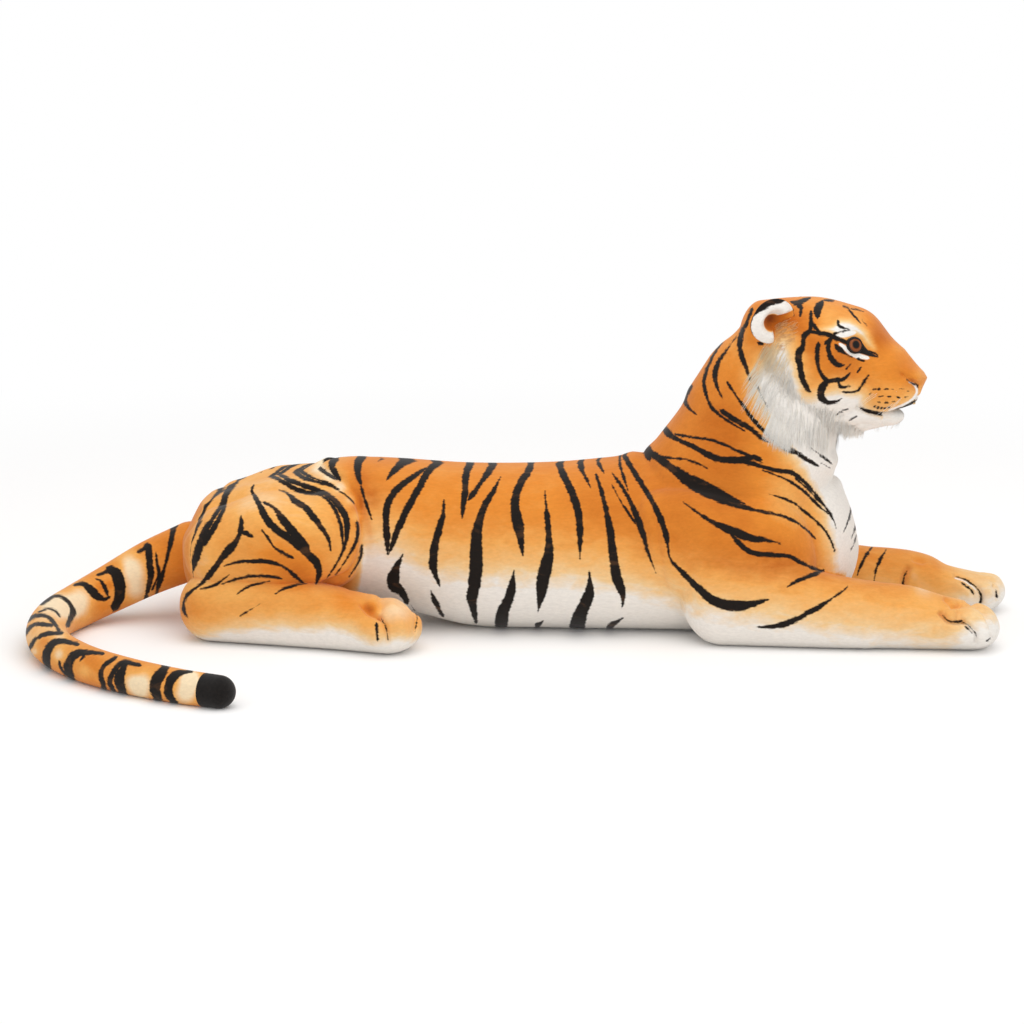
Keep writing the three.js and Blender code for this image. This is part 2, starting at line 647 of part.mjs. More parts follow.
const headOutside = loft(headForm).add(throat).subtract(joined(headHoles));
const headHollow = headAndNeck(hollow).subtract(joined(earPads)).add(joined(washerRooms));
add(head, "head_cover", headOutside.subtract(headHollow), ORANGE);
const headFilling = headAndNeck(stuffing).intersect(joined([loft(headForm), throat]));
add(head, "head_filling", headFilling.subtract(joined([...earWells, ...washerWells])), FIBRE);

// Nose patch on the muzzle's end, and the chin under it
const noseSeat = frameAt(headForm.rows.at(-1));
const nosePlace = noseSeat.middle.clone().addScaledVector(noseSeat.up, NOSE_RISE);
const noseDisc = new THREE.CylinderGeometry(1, 1, OVERRUN, SIDES.small).rotateX(Math.PI / 2);
noseDisc.scale(NOSE_HEIGHT / 2, NOSE_WIDTH / 2, 1);
const nose = shell(headForm, GAP, GAP + FELT).intersect(solid(noseDisc, standing(nosePlace, X)));
add(head, "nose_patch", nose.intersect(beyond(nosePlace, X)), TAN);
const chinForm = form(
  new THREE.Vector3(CHIN_ALONG_SHARE * HEAD_LENGTH, 0, -CHIN_DROP_SHARE * HEAD_HEIGHT),
  { length: CHIN_LENGTH, width: CHIN_WIDTH, height: CHIN_HEIGHT },
  CHIN_SHARES,
  [CHIN_DOME, CHIN_DOME],
  { sides: SIDES.small, steps: STEPS.small },
);
add(head, "chin", loft(chinForm).subtract(loft(headForm, -GAP)), WHITE);

// Legs: a haunch and a foot behind, a sewn upper foreleg and a forearm with its paw in front
for (const { name, side, heel, wrist, haunch, foot, shoulder, upper, forearm } of legs) {
  const aboveFoot = beyond(new THREE.Vector3(0, 0, footTop + GAP), DOWN);
  const haunchCuts = joined([grownTorso, aboveFoot]);
  add(tiger, `${name}_haunch_cover`, loft(haunch).subtract(haunchCuts).subtract(hollow(haunch)), ORANGE);
  const haunchFilling = stuffing(haunch).subtract(haunchCuts);
  add(tiger, `${name}_haunch_filling`, haunchFilling, FIBRE);

  const heelMouth = rod(heel, UP, HEEL_RADIUS / 2, FOOT_HEIGHT / 2, FOOT_HEIGHT);
  const footHollow = hollow(foot).add(heelMouth);
  add(tiger, `${name}_foot_cover`, loft(foot).subtract(floor).subtract(footHollow), ORANGE);
  add(tiger, `${name}_foot_filling`, stuffing(foot), FIBRE);

  // The sewn part ends in a hollow that the forearm's ball sits in, cut back for the forearm's lift
  const lifted = X.clone().applyAxisAngle(Y, -radians(FOREARM_LIFT));
  const upperCuts = joined([
    grownTorso,
    socket(wrist, FOREARM_RADIUS),
    beyond(wrist, X),
    beyond(wrist, lifted),
  ]);
  const upperBody = (part) => part(shoulder).add(part(upper));
  const upperOutside = upperBody(loft).subtract(upperCuts).subtract(floor);
  add(tiger, `${name}_upper_foreleg_cover`, upperOutside.subtract(upperBody(hollow)), ORANGE);
  add(tiger, `${name}_upper_foreleg_filling`, upperBody(stuffing).subtract(upperCuts), FIBRE);

  const wristMouth = rod(wrist, X.clone().negate(), FOREARM_RADIUS / 2, 0, 2 * FOREARM_RADIUS);
  const forearmHollow = hollow(forearm).add(wristMouth);
  add(tiger, `${name}_forearm_cover`, loft(forearm).subtract(floor).subtract(forearmHollow), ORANGE);
  add(tiger, `${name}_forearm_filling`, stuffing(forearm), FIBRE);
}

// Tail: three lengths, each hollow at its end for the next one's ball, and the black tip
const tipSection = sectionAt(tailEnd.rows, TAIL_TIP_SHARE * (tailEnd.rows.length - 1));
const { middle: tipPlace, ahead: tipAhead } = frameAt(tipSection);
tails.forEach((length, i) => {
  const next = tails[i + 1];
  const cuts = [beyond(tipPlace.clone().addScaledVector(tipAhead, -seam), tipAhead)];
  if (next) {
    cuts.length = 0;
    cuts.push(socket(next.pivot, next.radius));
    for (const angle of [-TAIL_SWING, 0, TAIL_TUCK])
      cuts.push(beyond(next.pivot, next.level.clone().applyAxisAngle(Z, radians(angle))));
  }
  const end = joined(cuts);
  const mouth = rod(length.pivot, length.level.clone().negate(), length.radius / 2, 0, 2 * length.radius);
  const inside = hollow(length).add(mouth);
  const tailName = `tail_${length.name}`;
  add(tiger, `${tailName}_cover`, loft(length).subtract(floor).subtract(inside).subtract(end), ORANGE);
  add(tiger, `${tailName}_filling`, stuffing(length).subtract(end), FIBRE);
});
const beforeTip = beyond(tipPlace.clone().addScaledVector(tipAhead, seam), tipAhead.clone().negate());
const tipCover = loft(tailEnd).subtract(floor).subtract(hollow(tailEnd)).subtract(beforeTip);
add(tiger, "tail_tip_cover", tipCover, BLACK);
add(tiger, "tail_tip_filling", stuffing(tailEnd).subtract(beforeTip), FIBRE);

export default tiger;
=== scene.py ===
"""A stuffed plush tiger lying down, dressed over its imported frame.

Lengths are metres in the frame's own axes: +X towards the head, +Z up, the floor at zero. The printed
coat is written as lines in pixels of the photograph and laid on the cloth through the photograph's camera.
"""
import logging
import math
from dataclasses import dataclass, field
from enum import Enum

import bpy
import numpy as np
from bpy.types import Material, Mesh, Node, NodeSocket, NodeTree, Object, bpy_prop_collection
from mathutils import Matrix, Vector
from mathutils.bvhtree import BVHTree


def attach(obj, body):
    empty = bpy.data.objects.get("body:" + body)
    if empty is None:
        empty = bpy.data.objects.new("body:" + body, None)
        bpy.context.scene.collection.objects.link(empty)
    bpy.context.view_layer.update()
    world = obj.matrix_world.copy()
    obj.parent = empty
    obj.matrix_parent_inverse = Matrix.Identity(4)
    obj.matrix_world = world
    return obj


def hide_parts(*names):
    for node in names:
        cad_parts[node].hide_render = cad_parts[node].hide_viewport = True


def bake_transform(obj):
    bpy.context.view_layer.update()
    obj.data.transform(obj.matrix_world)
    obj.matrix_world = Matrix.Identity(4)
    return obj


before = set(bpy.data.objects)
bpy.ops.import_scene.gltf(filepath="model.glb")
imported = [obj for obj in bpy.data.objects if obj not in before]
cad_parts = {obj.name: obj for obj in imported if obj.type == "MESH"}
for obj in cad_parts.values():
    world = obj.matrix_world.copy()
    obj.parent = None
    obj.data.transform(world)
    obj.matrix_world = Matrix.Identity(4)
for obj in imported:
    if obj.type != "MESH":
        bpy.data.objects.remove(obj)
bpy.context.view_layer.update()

Array = np.ndarray
Triple = tuple[float, float, float]

LOG = logging.getLogger("tiger")
MM = 0.001
FLOOR_CUT = 0.5 * MM
PICTURE = 1024
SEED = 7
# What a mark's attribute says where no mark is near: distance and half width in metres, and a zero
NO_MARK = (0.05, -0.05, 0.0)


def table(text: str) -> tuple[tuple[float, ...], ...]:
    """Reads rows of numbers: blanks part the rows and commas the numbers."""
    return tuple(tuple(float(value) for value in row.split(",")) for row in text.split())


TORSO = (0.815, 0.276, 0.250)
NECK = (0.100, 0.236, 0.240)
HEAD = (0.240, 0.200, 0.170)
RUMP_X = -0.5215 * TORSO[0]
TAIL_RADIUS = 0.042

# A form's sections, in shares of its size: along, side, rise, pitch and yaw in degrees, half width, up, down
TORSO_ROWS = table("""
0,0,.43,0,0,.319,.342,.342 .092,0,.458,0,0,.391,.418,.418 .22,0,.528,0,0,.391,.424,.424
.313,0,.532,0,0,.384,.42,.42 .448,0,.474,0,0,.406,.454,.466 .595,0,.468,0,0,.435,.468,.468
.742,0,.49,0,0,.442,.49,.49 .877,0,.49,0,0,.428,.49,.49 1,0,.496,0,0,.377,.456,.456
""")
NECK_ROWS = table("""
-.1,0,-.254,62,0,.5,.52,.583 .35,0,.067,58,0,.441,.475,.492 .72,0,.371,54,0,.398,.442,.4
.92,0,.579,45,0,.373,.392,.354
""")
HEAD_ROWS = table("""
-.304,0,.141,0,0,.37,.341,.412 -.146,0,.094,0,0,.47,.418,.471 .021,0,.047,0,0,.5,.476,.529
.188,0,.009,0,0,.43,.47,.494 .333,0,-.053,0,0,.3,.46,.388 .458,0,-.129,0,0,.26,.341,.294
.563,0,-.168,0,0,.22,.259,.2
""")
JAW_ROWS = table("0,0,0,0,0,.5,.5,.40 1,0,0,0,0,.34,.4,.34")
CHIN_ROWS = table("0,0,0,0,0,.5,.47,.53 1,0,.22,0,0,.44,.42,.47")
HAUNCH_ROWS = table("-.49,-.03,-.09,12,0,.43,.4,.44 0,0,0,12,0,.5,.44,.5 .51,-.02,.04,12,0,.44,.38,.5")
FOOT_ROWS = table("""
0,0,.49,0,12,.5,.49,.49 .26,.14,.5,0,12,.48,.5,.5 .66,.36,.432,0,12,.44,.432,.432
.9,.5,.373,0,12,.46,.373,.373 1,.55,.343,0,12,.49,.343,.343
""")
SHOULDER_ROWS = table("-.5,-.08,0,30,0,.46,.45,.55 0,0,0,30,0,.5,.5,.56 .5,-.03,0,25,0,.46,.43,.47")
UPPER_ROWS = table("""
0,0,.5,0,0,.5,.5,.5 .35,.03,.394,0,0,.48,.394,.394 .7,.06,.328,0,0,.46,.328,.328
1,.077,.294,0,0,.452,.294,.294
""")
FOREARM_ROWS = table("""
0,0,0,0,0,1,1,1 .4,.02,-.06,0,0,.93,.94,.94 .7,0,-.2,0,0,.96,.8,.8 1,-.04,-.33,0,0,1.01,.68,.67
""")
# Along, across, lift of the underside, pitch and yaw in degrees, share of the root's radius
TAIL_ROWS = table("""
-.045,0,.24,-22,180,1 -.119,-.015,.152,-23,184,.92 -.188,-.076,.058,-19,203,.82 -.24,-.22,0,-6,236,.75
-.262,-.47,0,0,262,.7 -.257,-.76,0,0,280,.67 -.222,-1.033,0,0,304,.64 -.155,-1.29,0,0,318,.6
-.07,-1.495,0,0,326,.57 .02,-1.645,0,0,334,.54 .085,-1.72,0,0,339,.52
""")

# The printed coat: each mark is a line of x,y,width in pixels of the photograph. The last mark, at 759,343,
# is painted shade below the ear's lobe
COAT_MARKS_AND_SHADE = """
428,456,4 412,460,7 401,464,9 392,473,6 386,481,1
426,468,3 410,479,7 397,489,8 388,503,8 386,519,8 387,538,8 388,554,2
448,458,7 436,464,8 427,473,8 419,488,8 410,504,8 401,522,8 394,540,7 389,553,2
403,554,1 398,564,7 394,575,13 394,585,15 402,592,9 407,603,5
444,499,1 443,515,6 438,532,8 434,550,10 433,566,9 436,576,6 440,587,1
431,591,2 434,599,6 439,609,6 443,616,3
471,462,9 466,474,8 465,492,8 463,508,6 462,519,1
494,463,9 487,474,8 480,484,5 473,494,7 468,500,3
501,476,1 494,490,5 486,503,8 481,515,9 477,532,12 476,550,14 476,568,15 474,585,14 472,598,13 474,611,7
 476,622,4
532,460,8 528,472,8 520,484,9 515,500,10 516,514,12 519,528,13 521,541,8 523,556,1
514,570,1 512,585,8 509,598,11 503,612,14 501,626,15
545,491,1 546,506,4 548,524,7 549,542,9 548,558,13 544,574,15 542,586,14 540,600,8 538,612,1
544,620,1 537,626,7
558,460,9 563,474,8 569,486,9 575,500,9 579,517,9 580,535,7 580,548,4 580,559,1
580,461,8 582,470,6 587,480,3 591,489,1
589,571,1 590,583,7 589,594,12 584,606,14 579,618,17 577,628,18
597,459,4 600,466,4 604,473,1
596,474,2 601,490,5 605,505,6 609,525,8 612,545,10 614,562,11 617,578,12 622,592,9 623,602,4 622,607,1
623,618,1 615,623,6 609,627,8
612,473,1 620,484,4 628,497,5 635,512,7 641,528,7 646,545,5 651,560,3 656,573,1
612,485,1 620,500,2 629,514,3 636,524,1
620,454,3 620,465,3 624,478,3 628,491,1
622,452,6 630,465,6 641,483,6 652,501,6 660,518,7 666,535,7 668,548,3 671,560,3 683,573,6 697,587,8
 710,598,10 722,604,12 737,606,13 752,604,8 763,601,4 770,599,1
641,441,9 647,450,11 649,459,6
648,451,8 660,459,9 673,469,10 688,480,14 703,489,15 717,496,13 731,502,9 747,508,6 763,512,4 779,515,4
 792,520,3 803,527,3 812,535,2 816,539,1
690,476,4 704,482,5 718,490,5 733,499,4 745,504,3
655,456,4 670,458,3 684,459,2 697,463,3 708,469,1
683,502,1 695,511,3 709,520,5 723,527,8 737,533,10 751,538,9 765,540,6 775,542,2 780,544,1
729,531,3 737,541,6 747,550,6 760,554,6 776,555,6 790,557,5 802,563,5 815,569,4 824,571,2
662,424,6 669,434,8 679,440,5 690,445,6 703,452,7 715,458,8 728,460,8 742,460,8 754,457,6 762,460,3
675,434,4 690,437,3 706,439,3 720,443,3 736,450,4 750,456,4 763,463,1
741,461,5 753,464,5 767,468,5 780,471,5 792,473,6 801,479,4 811,489,4 820,500,3 829,512,3 834,521,2 836,528,1
762,470,2 773,474,2 785,479,3 797,486,3 809,496,3 820,507,3 829,514,2
796,479,2 808,489,2 819,501,2 829,511,1
769,494,1 782,498,3 794,503,3 805,512,4 817,522,3 826,532,3 832,543,2 835,552,1
727,382,2 737,397,3 747,411,4 757,424,4 767,434,4 777,442,5 788,449,6 798,454,5 808,460,5 818,466,2
722,411,6 737,421,7 751,429,6 763,439,5 770,443,2
811,448,1 819,454,2 827,460,3 832,464,2
821,463,1 830,468,1
752,309,4 747,322,4 741,335,6 740,348,6 743,360,6 747,370,5 750,380,2
728,328,2 722,341,3 713,356,3 707,369,4 704,383,4 707,397,4 712,408,4 721,416,3 733,424,3 745,431,1
737,336,1 727,350,3 718,363,5 715,377,6 718,389,4 722,398,1
691,386,5 685,397,6 688,407,4 697,415,1
757,386,2 762,397,2 768,408,1
758,627,3 772,627,5 785,624,7 797,619,6 810,612,6 822,605,5 834,597,3 843,591,2 848,586,1
787,587,1 797,581,4 808,577,5 817,573,5 824,570,2
236,478,13 228,490,8 222,504,6 214,517,5 205,531,9 200,545,10 196,558,9 191,570,6 183,579,5 179,590,3
 177,601,1
228,485,8 217,494,4 207,505,3 201,513,6 197,524,4 195,534,3 189,545,3 183,556,3 179,567,1
206,505,4 201,517,5 197,528,3
226,496,6 223,510,5 217,522,6 210,534,7 204,545,5
241,515,2 241,527,6 238,538,6 231,548,9 222,558,8 214,569,7 206,579,5 197,587,4 188,594,4 184,602,4 184,611,4
 189,619,1
240,532,3 247,534,6 253,537,1
233,543,4 226,549,4 219,559,3
254,484,1 252,491,4 257,500,6 262,510,8 268,521,9 277,530,9 289,538,9 300,547,10 310,556,10 317,564,9
 319,573,7 316,584,2
264,503,4 274,508,5 281,517,9 289,527,10 298,538,11 307,549,10
279,490,1 287,493,3 295,501,8 306,508,8 314,518,8 321,527,7 328,538,5 331,551,1
251,475,3 262,474,4 276,478,5 290,486,6 304,492,5 318,494,4 328,500,4 335,510,5 340,522,5 342,535,4 343,548,3
 338,560,2
268,470,5 279,474,5 291,481,6 306,486,6 321,492,7 334,500,8 343,512,8 347,525,7 346,540,5 342,553,4 335,566,3
 327,578,1
283,465,5 294,470,7 302,477,5 314,481,5 326,484,3 336,489,2 347,496,2 355,504,1
293,465,3 302,472,5 313,478,3 327,483,3 340,490,2
357,522,3 358,532,4 355,544,4 349,555,3 342,566,2 335,576,1
262,530,1 268,538,3 274,547,3 283,553,5 293,558,4
307,460,5 315,464,6 322,470,5 331,476,4 338,480,2
338,456,8 332,463,8 334,471,7 340,480,4
362,455,12 358,464,9 358,475,7 361,484,3
361,486,2 364,497,4 368,509,3 372,520,1
386,457,3 378,461,1
362,545,3 361,555,4 357,565,3 349,577,1
222,584,1 233,580,3 246,577,4 260,576,4 274,577,4 282,579,1
224,566,2 238,562,4 254,561,4 270,562,5 284,567,4 295,576,4 303,583,2
237,594,1 246,588,3 257,584,3 270,581,1
275,594,1 284,589,3 296,585,3 308,584,1
200,589,3 213,586,3 224,579,2 230,574,1
215,565,5 221,561,6 222,556,5
240,616,1 250,610,2 260,604,1
811,311,2 811,322,5 810,330,5 804,336,7 803,345,6 799,353,9 799,361,8 801,371,7 803,380,7 807,388,6 811,392,2
810,331,4 818,333,5 827,334,6 838,339,5 848,343,4
811,322,3 815,327,5 820,333,4
835,333,3 829,341,5 825,344,3
818,344,5 817,355,6 818,365,5 821,374,5 827,381,6
828,342,4 829,352,6 832,360,6 838,365,5 844,365,3
827,381,7 822,388,9 821,396,9 827,402,6 835,402,4 842,398,1
827,382,5 835,380,6 843,379,4 850,373,2
838,381,3 841,387,4 850,386,3
843,392,3 850,392,3 857,391,3 861,387,2 865,380,3 869,375,1
846,369,2 851,364,1
857,373,1 861,367,2
836,415,1 842,411,2 848,409,1
849,421,1 857,416,1
834,334,3 840,332,2 850,330,1
838,321,3 839,326,3 845,328,2 850,330,1
835,345,2 839,349,6 846,354,3 852,357,2
858,359,3 864,361,3
869,351,3 876,354,3 878,357,2
822,302,5 818,309,10 817.5,317,5
791,302,3 797,303,7 803,301,6 810,298,3
799,305,7 801,309,5 800,316,2
792,309,3 794,316,2
824,300,2 829,300,3 834,300.5,2
843,306,2 848,308,2 851,312,2 857,319,2 861,324,1
851,309,2 858,310,2 864,312,1
862,320,1 867,326,1
873,389.5,1.9 876,389.2,1.8
878,389.5,1.8 880,389,1.6
885,389.3,1.9 888,389,1.8
892,389,1.8 894,389.2,1.8
899,388.6,1.7 904,388.8,1.7
907,391,1.6 909,391.6,1.4
869,394.5,1.6 871,393,1.6
879,396.8,1.6 883,396,1.6
888,396.5,1.9 891,396.8,1.8
897,397,1.7 900,398,1.5
905,397,1.6 908,396.4,1.6
878,402,1.9 880,402.4,1.8
885,402.6,2 888,402.8,1.8
892,401.8,1.8 895,401.4,1.8
874,407,1.7 875,406.2,1.6
877.5,408.4,1.7 878.5,407,1.6
881,408.8,1.7 882,407.4,1.6
884,409,1.7 885,408.2,1.6
888,407.6,1.8 890,407.2,1.6
860,408,2 865,410,4 871,412,4.5 882,413.8,4 891,412.8,4 901,409.2,4 908,405.8,4 913,402.4,3 916,399,1.5
907,379.5,.9 912,383.4,1.2 917,384.6,1.4 918,387.5,1
942,615,1.2 946.4,619.3,1.6 950.7,621.4,2 957,621.8,2.4 962,621,2.2
962,622,1 968,625,1 972,629,1.1 975,632.5,1.1 976.4,636,1
965.4,626.8,2.2 968.6,629.3,2.2 972,633,1.8
987,641,2 990,638,1
376.5,624,3.6 377,632,3.6 377.5,640,3
381,618,1 386,628,1.2 388,640,1
411,605,.8 417,616,1 415,632,1
849,499,1 851,510,1.8 846,526,1.5 843,533,1
855,516,1 856,525,1.8 851,539,1
857,534,1 854,543,1.5 851,550,1
759,343,4 763,344,3
"""
FAR_MARKS = """
872,547,2 865,557,3 860,568,3 855,578,2
886,550,2 880,560,3 876,570,3 874,582,2
907,571,1 904,577,2 903,585,3
955.7,576.4,1 964.3,579.3,1.6 971.4,583.6,1.8 977,588,2 980.7,594.3,2.4 980.7,600.7,2.6 979,604,2
961.8,583,2 966.4,586.4,3 970.7,589.3,3 973.6,594.3,2
995.7,590,1.5 997,597,3
"""
# Clean white marks of the same kind round the eye and along the lip. The two short marks on the paws are
# painted highlights beside the toe lines
WHITE_MARKS_AND_HIGHLIGHTS = """
836,335.5,3 843,335,5.5 850,333.5,6 855,332.5,4
840,344,3 845,348,5 851,353,6 859,356,6 868,358,4
889,410.4,1.5 900,406.4,3 909,402,3 914.5,397,3 917,391,2.5 914.5,385,2 909,382,1
967,624.8,1 970.4,627.4,1.8 973.5,630.6,1
955,578,1 964,581,1.8 971,585.4,1.8 976,590,1.4
"""
# Where the ground colour turns white: x and y of the line across the flank and the legs
FADE_LINE = table("""
150,660 320,655 345,640 357,600 364,552 384,548 400,556 420,568 440,575 500,578 560,581 620,588 660,600
700,611 750,620 800,626 850,632 900,638 925,641 946,643 957,637 966,630 980,622 1010,618
""")
FOOT_FADE_LINE = table("170,640 230,629 262,626 330,627 352,632 372,641 395,638 430,636")
# The white of the cheek, the throat and the chest as one field
WHITE_FIELD = table("""
783,343 776,352 764,366 757,380 760,397 768,414 779,432 790,447 800,461 808,476 817,491 825,508 830,527
834,548 836,573 852,577 872,581 900,588 920,592 940,480 940,420 925,402 914,405 902,411 884,416 868,412
862,405 860,397 850,395 838,392 824,396 812,399 802,398 797,384 792,366 786,350
""")
# The white of the brow, in the same way
BROW_FIELD = table("""
820,329 832,325 840,319 850,320 859,325 866,332 871,342 874,348 868,345 862,338 855,334 845,339 836,336
828,332
""")
# The near foreleg's upper edge, which the white of the chest stops at
LEG_LINE = table("800,566 820,571 848,577 870,581 890,586 920,594 1010,600")
# Lighter (positive) and deeper (negative) spots of the ground colour: x, y, radius, amount. Many deeper
# spots are
# painted shade in folds and creases: between thigh and shank, on the flank beside the haunch, beside the
# brow on the nose bridge, under the nostril, at the far paw's wrist and between the toes. The cream spots
# along the haunch's top edge are a painted highlight. The rest is the coat's own tone.
TONES_AND_PAINTED_LIGHT = table("""
240,560,70,.30 215,500,60,.55 300,480,50,.75 330,500,40,.65 190,560,30,.7 282,562,26,-1.2 300,575,16,-1.1
366,500,24,-.9 350,470,26,-.3 400,480,50,-.1 600,505,26,-.7 660,490,40,-.6 690,500,70,-.45 790,556,34,-.55
740,430,30,-.3 740,470,50,-.4 760,568,40,-.8 700,590,40,-.3 790,495,34,.9 800,520,30,.6 720,430,40,-.45
740,400,40,-.3 860,605,60,-.05 940,610,40,.8 990,620,25,.7 800,600,50,.1 640,600,30,.6 655,500,14,.5
250,500,24,.6 210,590,30,.4 300,600,60,.75 230,600,30,.35 345,598,24,-.45 390,600,30,.9 402,620,26,1.5
780,325,22,-1.5 795,350,22,-.8 800,325,16,-.7 824,310,14,.5 843,319,15,.5 858,323,10,.5 828,326,10,.8
780,300,30,.3 880,338,13,-1.2 876,322,12,-.3 898,354,16,0 870,365,14,.2 845,352,18,-.7 835,372,22,-.5
812,386,12,.7 872,385,16,.6 890,398,14,.45 907,370,10,-.7 920,374,9,.5 765,400,24,.9 756,440,20,.5
818,345,12,-.8 830,392,12,.4 770,365,18,1.2 735,345,24,.1 900,345,9,.3 950,614,6,-1.9 958,613,5,-1.7
965,634,14,.8 940,632,14,.4 954,604,4,-1.6 946,600,4,-1.4 978,626,12,1.5 981,632,2,-1.5 938,571,10,-.7
946,582,5,-.6 904,578,6,-1.2 919,562,6,-.7 913,576,6,1.2 922,588,10,1.2 960,592,12,1 986,600,8,2.6
925,588,40,.4 318,468,7,1.7 330,476,7,1.7 341,487,7,1.6 350,500,6,1.5 357,517,6,1.3 360,535,6,1.1
368,500,10,-1.2 368,525,9,-1.2 360,478,10,-.9 371,609,6,-2.2 386,628,4,-1.2 912,381,4,-1 840,400,6,-.4
""")
TAIL_MARKS = """
174.8,518.1,9 174,524,9 173,531,7 171,541,6 168,555,5 164,569,3 161,577,7 158,588,4.5 156.4,593.8,4.5
137.9,552.1,4.5 143,549,4.5 148,546,8 149,556,8 150,565,8 151,575,8 149,584,7 147,593,5 145.7,598.9,5
156,553,2 157,563,4 159,573,4 155,583,2 152,590,3
97.3,574.9,4.5 103,573,4.5 109,571,6 116,576,9 119,584,10 119,594,11 116,603,8 114.1,608.7,8
74,585,3 83,584,6 90,589,10 96,595,10 104,599,5 109,597,4
96,579,2 101,581,4 105,588,5 108,596,3
40.8,603.9,4.5 46,601,4.5 55,596,4 64,598,5 71,605,5 73,613,8 70,620,6 67.6,625.5,6
38,612,2 47,609,3 55,611,3 60,617,2
109,569,9 116,574,13 120,586,13 119,598,12 114.5,608,10
21,625.3,4.5 26,622,4.5 35,616,5 45,616,5 52,620,5 56,626,4.5 59.3,631,4.5
20.8,641.1,4.5 24,636,4.5 29,628,5 37,624,5 46,625,4.5 52,625.7,4.5
27.5,650.9,4.5 31,646,4.5 36,639,4 45,634,5 56,633,4.5 62,632.5,4.5
77.9,644.2,4.5 72,643,4.5 62,641,7 54,643,9 48,650,10 46,658,10 48,667,7 49.3,672.9,7
59,661,3 61,668,3 67,676,3
103,653.5,4.5 97,653,4.5 86,652,7 76,654,10 70,660,10 68,668,11 71,677,8 72.9,682.7,8
84,656,4 80,661,2
115.9,657.5,4.5 111,661,4.5 104,666,6 101,675,7 103,684,6 104.3,689.9,6
139.9,665.3,4.5 134,664,4.5 125,662,6 118,666,7 112,675,7 110,682,7 113,689,5 115.4,694.5,5
125.1,662.4,8 123,668,8 119,679,13 122,690,10 123.6,695.8,10
167.3,664,10 164,669,10 158,678,14 155,687,14 157,696,11 158.3,701.9,11
191.9,670.7,5 186,672,5 177,674,9 170,682,10 168,692,11 172,699,8 175,704.2,8
"""
TAIL_TONES = table("""
133,572,13,2 136,590,12,1.8 130,560,12,1.2 139,557,8,-.3 120,567,5,-.4 80,596,12,1.5 76,608,11,1.9
64,612,9,1.4 100,607,9,-.4 46,606,9,1.5 62,605,8,1.3 44,628,20,1.1 56,600,10,1 30,640,8,.9 44,641,7,-.8
34,652,4,1.4 59,655,6,1.4 60,637,6,.8 90,661,8,-.8 85,671,7,1 133,682,10,1.9 141,692,10,2.2 145,678,9,1.3
138,671,9,-.3 186,694,11,2.6 190,680,10,2 191,678,8,1.8 165,545,9,-.3 100,610,60,.35 40,640,50,.35
150,680,50,.3 101,587,5,-1.1 110,585,4,-.9 175,550,10,-.4 100,667,6,-.4
""")


class Side(Enum):
    """A side of the toy: its right one faces the photograph's camera."""

    RIGHT = -1
    LEFT = 1

    @property
    def word(self) -> str:
        """The side as the frame's names spell it."""
        return self.name.lower()


def colour(text: str) -> tuple[float, float, float, float]:
    """Turns a "#RRGGBB" colour in sRGB into linear RGBA."""
    values = [int(text[i:i + 2], 16) / 255 for i in (1, 3, 5)]
    return (*[v / 12.92 if v <= 0.04045 else ((v + 0.055) / 1.055) ** 2.4 for v in values], 1.0)


def node(tree: NodeTree, kind: str, inputs: dict | None = None, **settings) -> Node:
    """Adds a shader node.

    Args:
        tree: the node tree.
        kind: the node's type without "ShaderNode", such as "Math".
        inputs: input name or number to its plain value, or to the socket or node that feeds it.
        settings: attributes of the node.

    Returns:
        The new node.
    """
    made = tree.nodes.new(f"ShaderNode{kind}")
    for key, value in settings.items():
        setattr(made, key, value)
    for key, value in (inputs or {}).items():
        if isinstance(value, Node):
            value = value.outputs[0]
        if isinstance(value, NodeSocket):
            tree.links.new(value, made.inputs[key])
        else:
            made.inputs[key].default_value = value
    return made


def maths(tree: NodeTree, operation: str, *values, clamp: bool = False) -> Node:
    """Adds a Math node on numbers, sockets or nodes."""
    return node(tree, "Math", dict(enumerate(values)), operation=operation, use_clamp=clamp)


def remap(tree: NodeTree, value, source: tuple, target: tuple = (0, 1), kind: str = "LINEAR") -> Node:
    """Adds a Map Range node from the source's two ends to the target's."""
    ends = {"From Min": source[0], "From Max": source[1], "To Min": target[0], "To Max": target[1]}
    return node(tree, "MapRange", {"Value": value, **ends}, interpolation_type=kind)


def ramp(tree: NodeTree, factor, stops: tuple) -> Node:
    """Adds a colour ramp through stops, each a place and a "#RRGGBB" colour, lowest first."""
    made = node(tree, "ValToRGB", {"Fac": factor})
    elements = made.color_ramp.elements
    for element, (place, text) in zip(list(elements), (stops[0], stops[-1])):
        element.position, element.color = place, colour(text)
    for place, text in stops[1:-1]:
        elements.new(place).color = colour(text)
    return made


def mix(tree: NodeTree, factor, one, other) -> NodeSocket:
    """Adds a colour mix and returns its result: one where the factor is 0, the other where it is 1."""
    return node(tree, "Mix", {0: factor, 6: one, 7: other}, data_type="RGBA").outputs[2]


def attribute(tree: NodeTree, name: str, output: str = "Fac") -> NodeSocket:
    """Adds a mesh attribute and returns one of its outputs."""
    return node(tree, "Attribute", attribute_name=name).outputs[output]


def noise(tree: NodeTree, scale: float, detail: float, roughness: float = 0.5, distortion: float = 0.0,
          place: Node | None = None) -> NodeSocket:
    """Adds a noise texture on the object's coordinates, or on a given place, and returns its strength."""
    place = place or node(tree, "TexCoord").outputs["Object"]
    return node(tree, "TexNoise", {"Vector": place, "Scale": scale, "Detail": detail, "Roughness": roughness,
                                   "Distortion": distortion}).outputs["Fac"]


def new_material(name: str) -> tuple[Material, NodeTree]:
    """A material and its node tree, emptied."""
    material = bpy.data.materials.new(name)
    material.use_nodes = True
    material.node_tree.nodes.clear()
    return material, material.node_tree


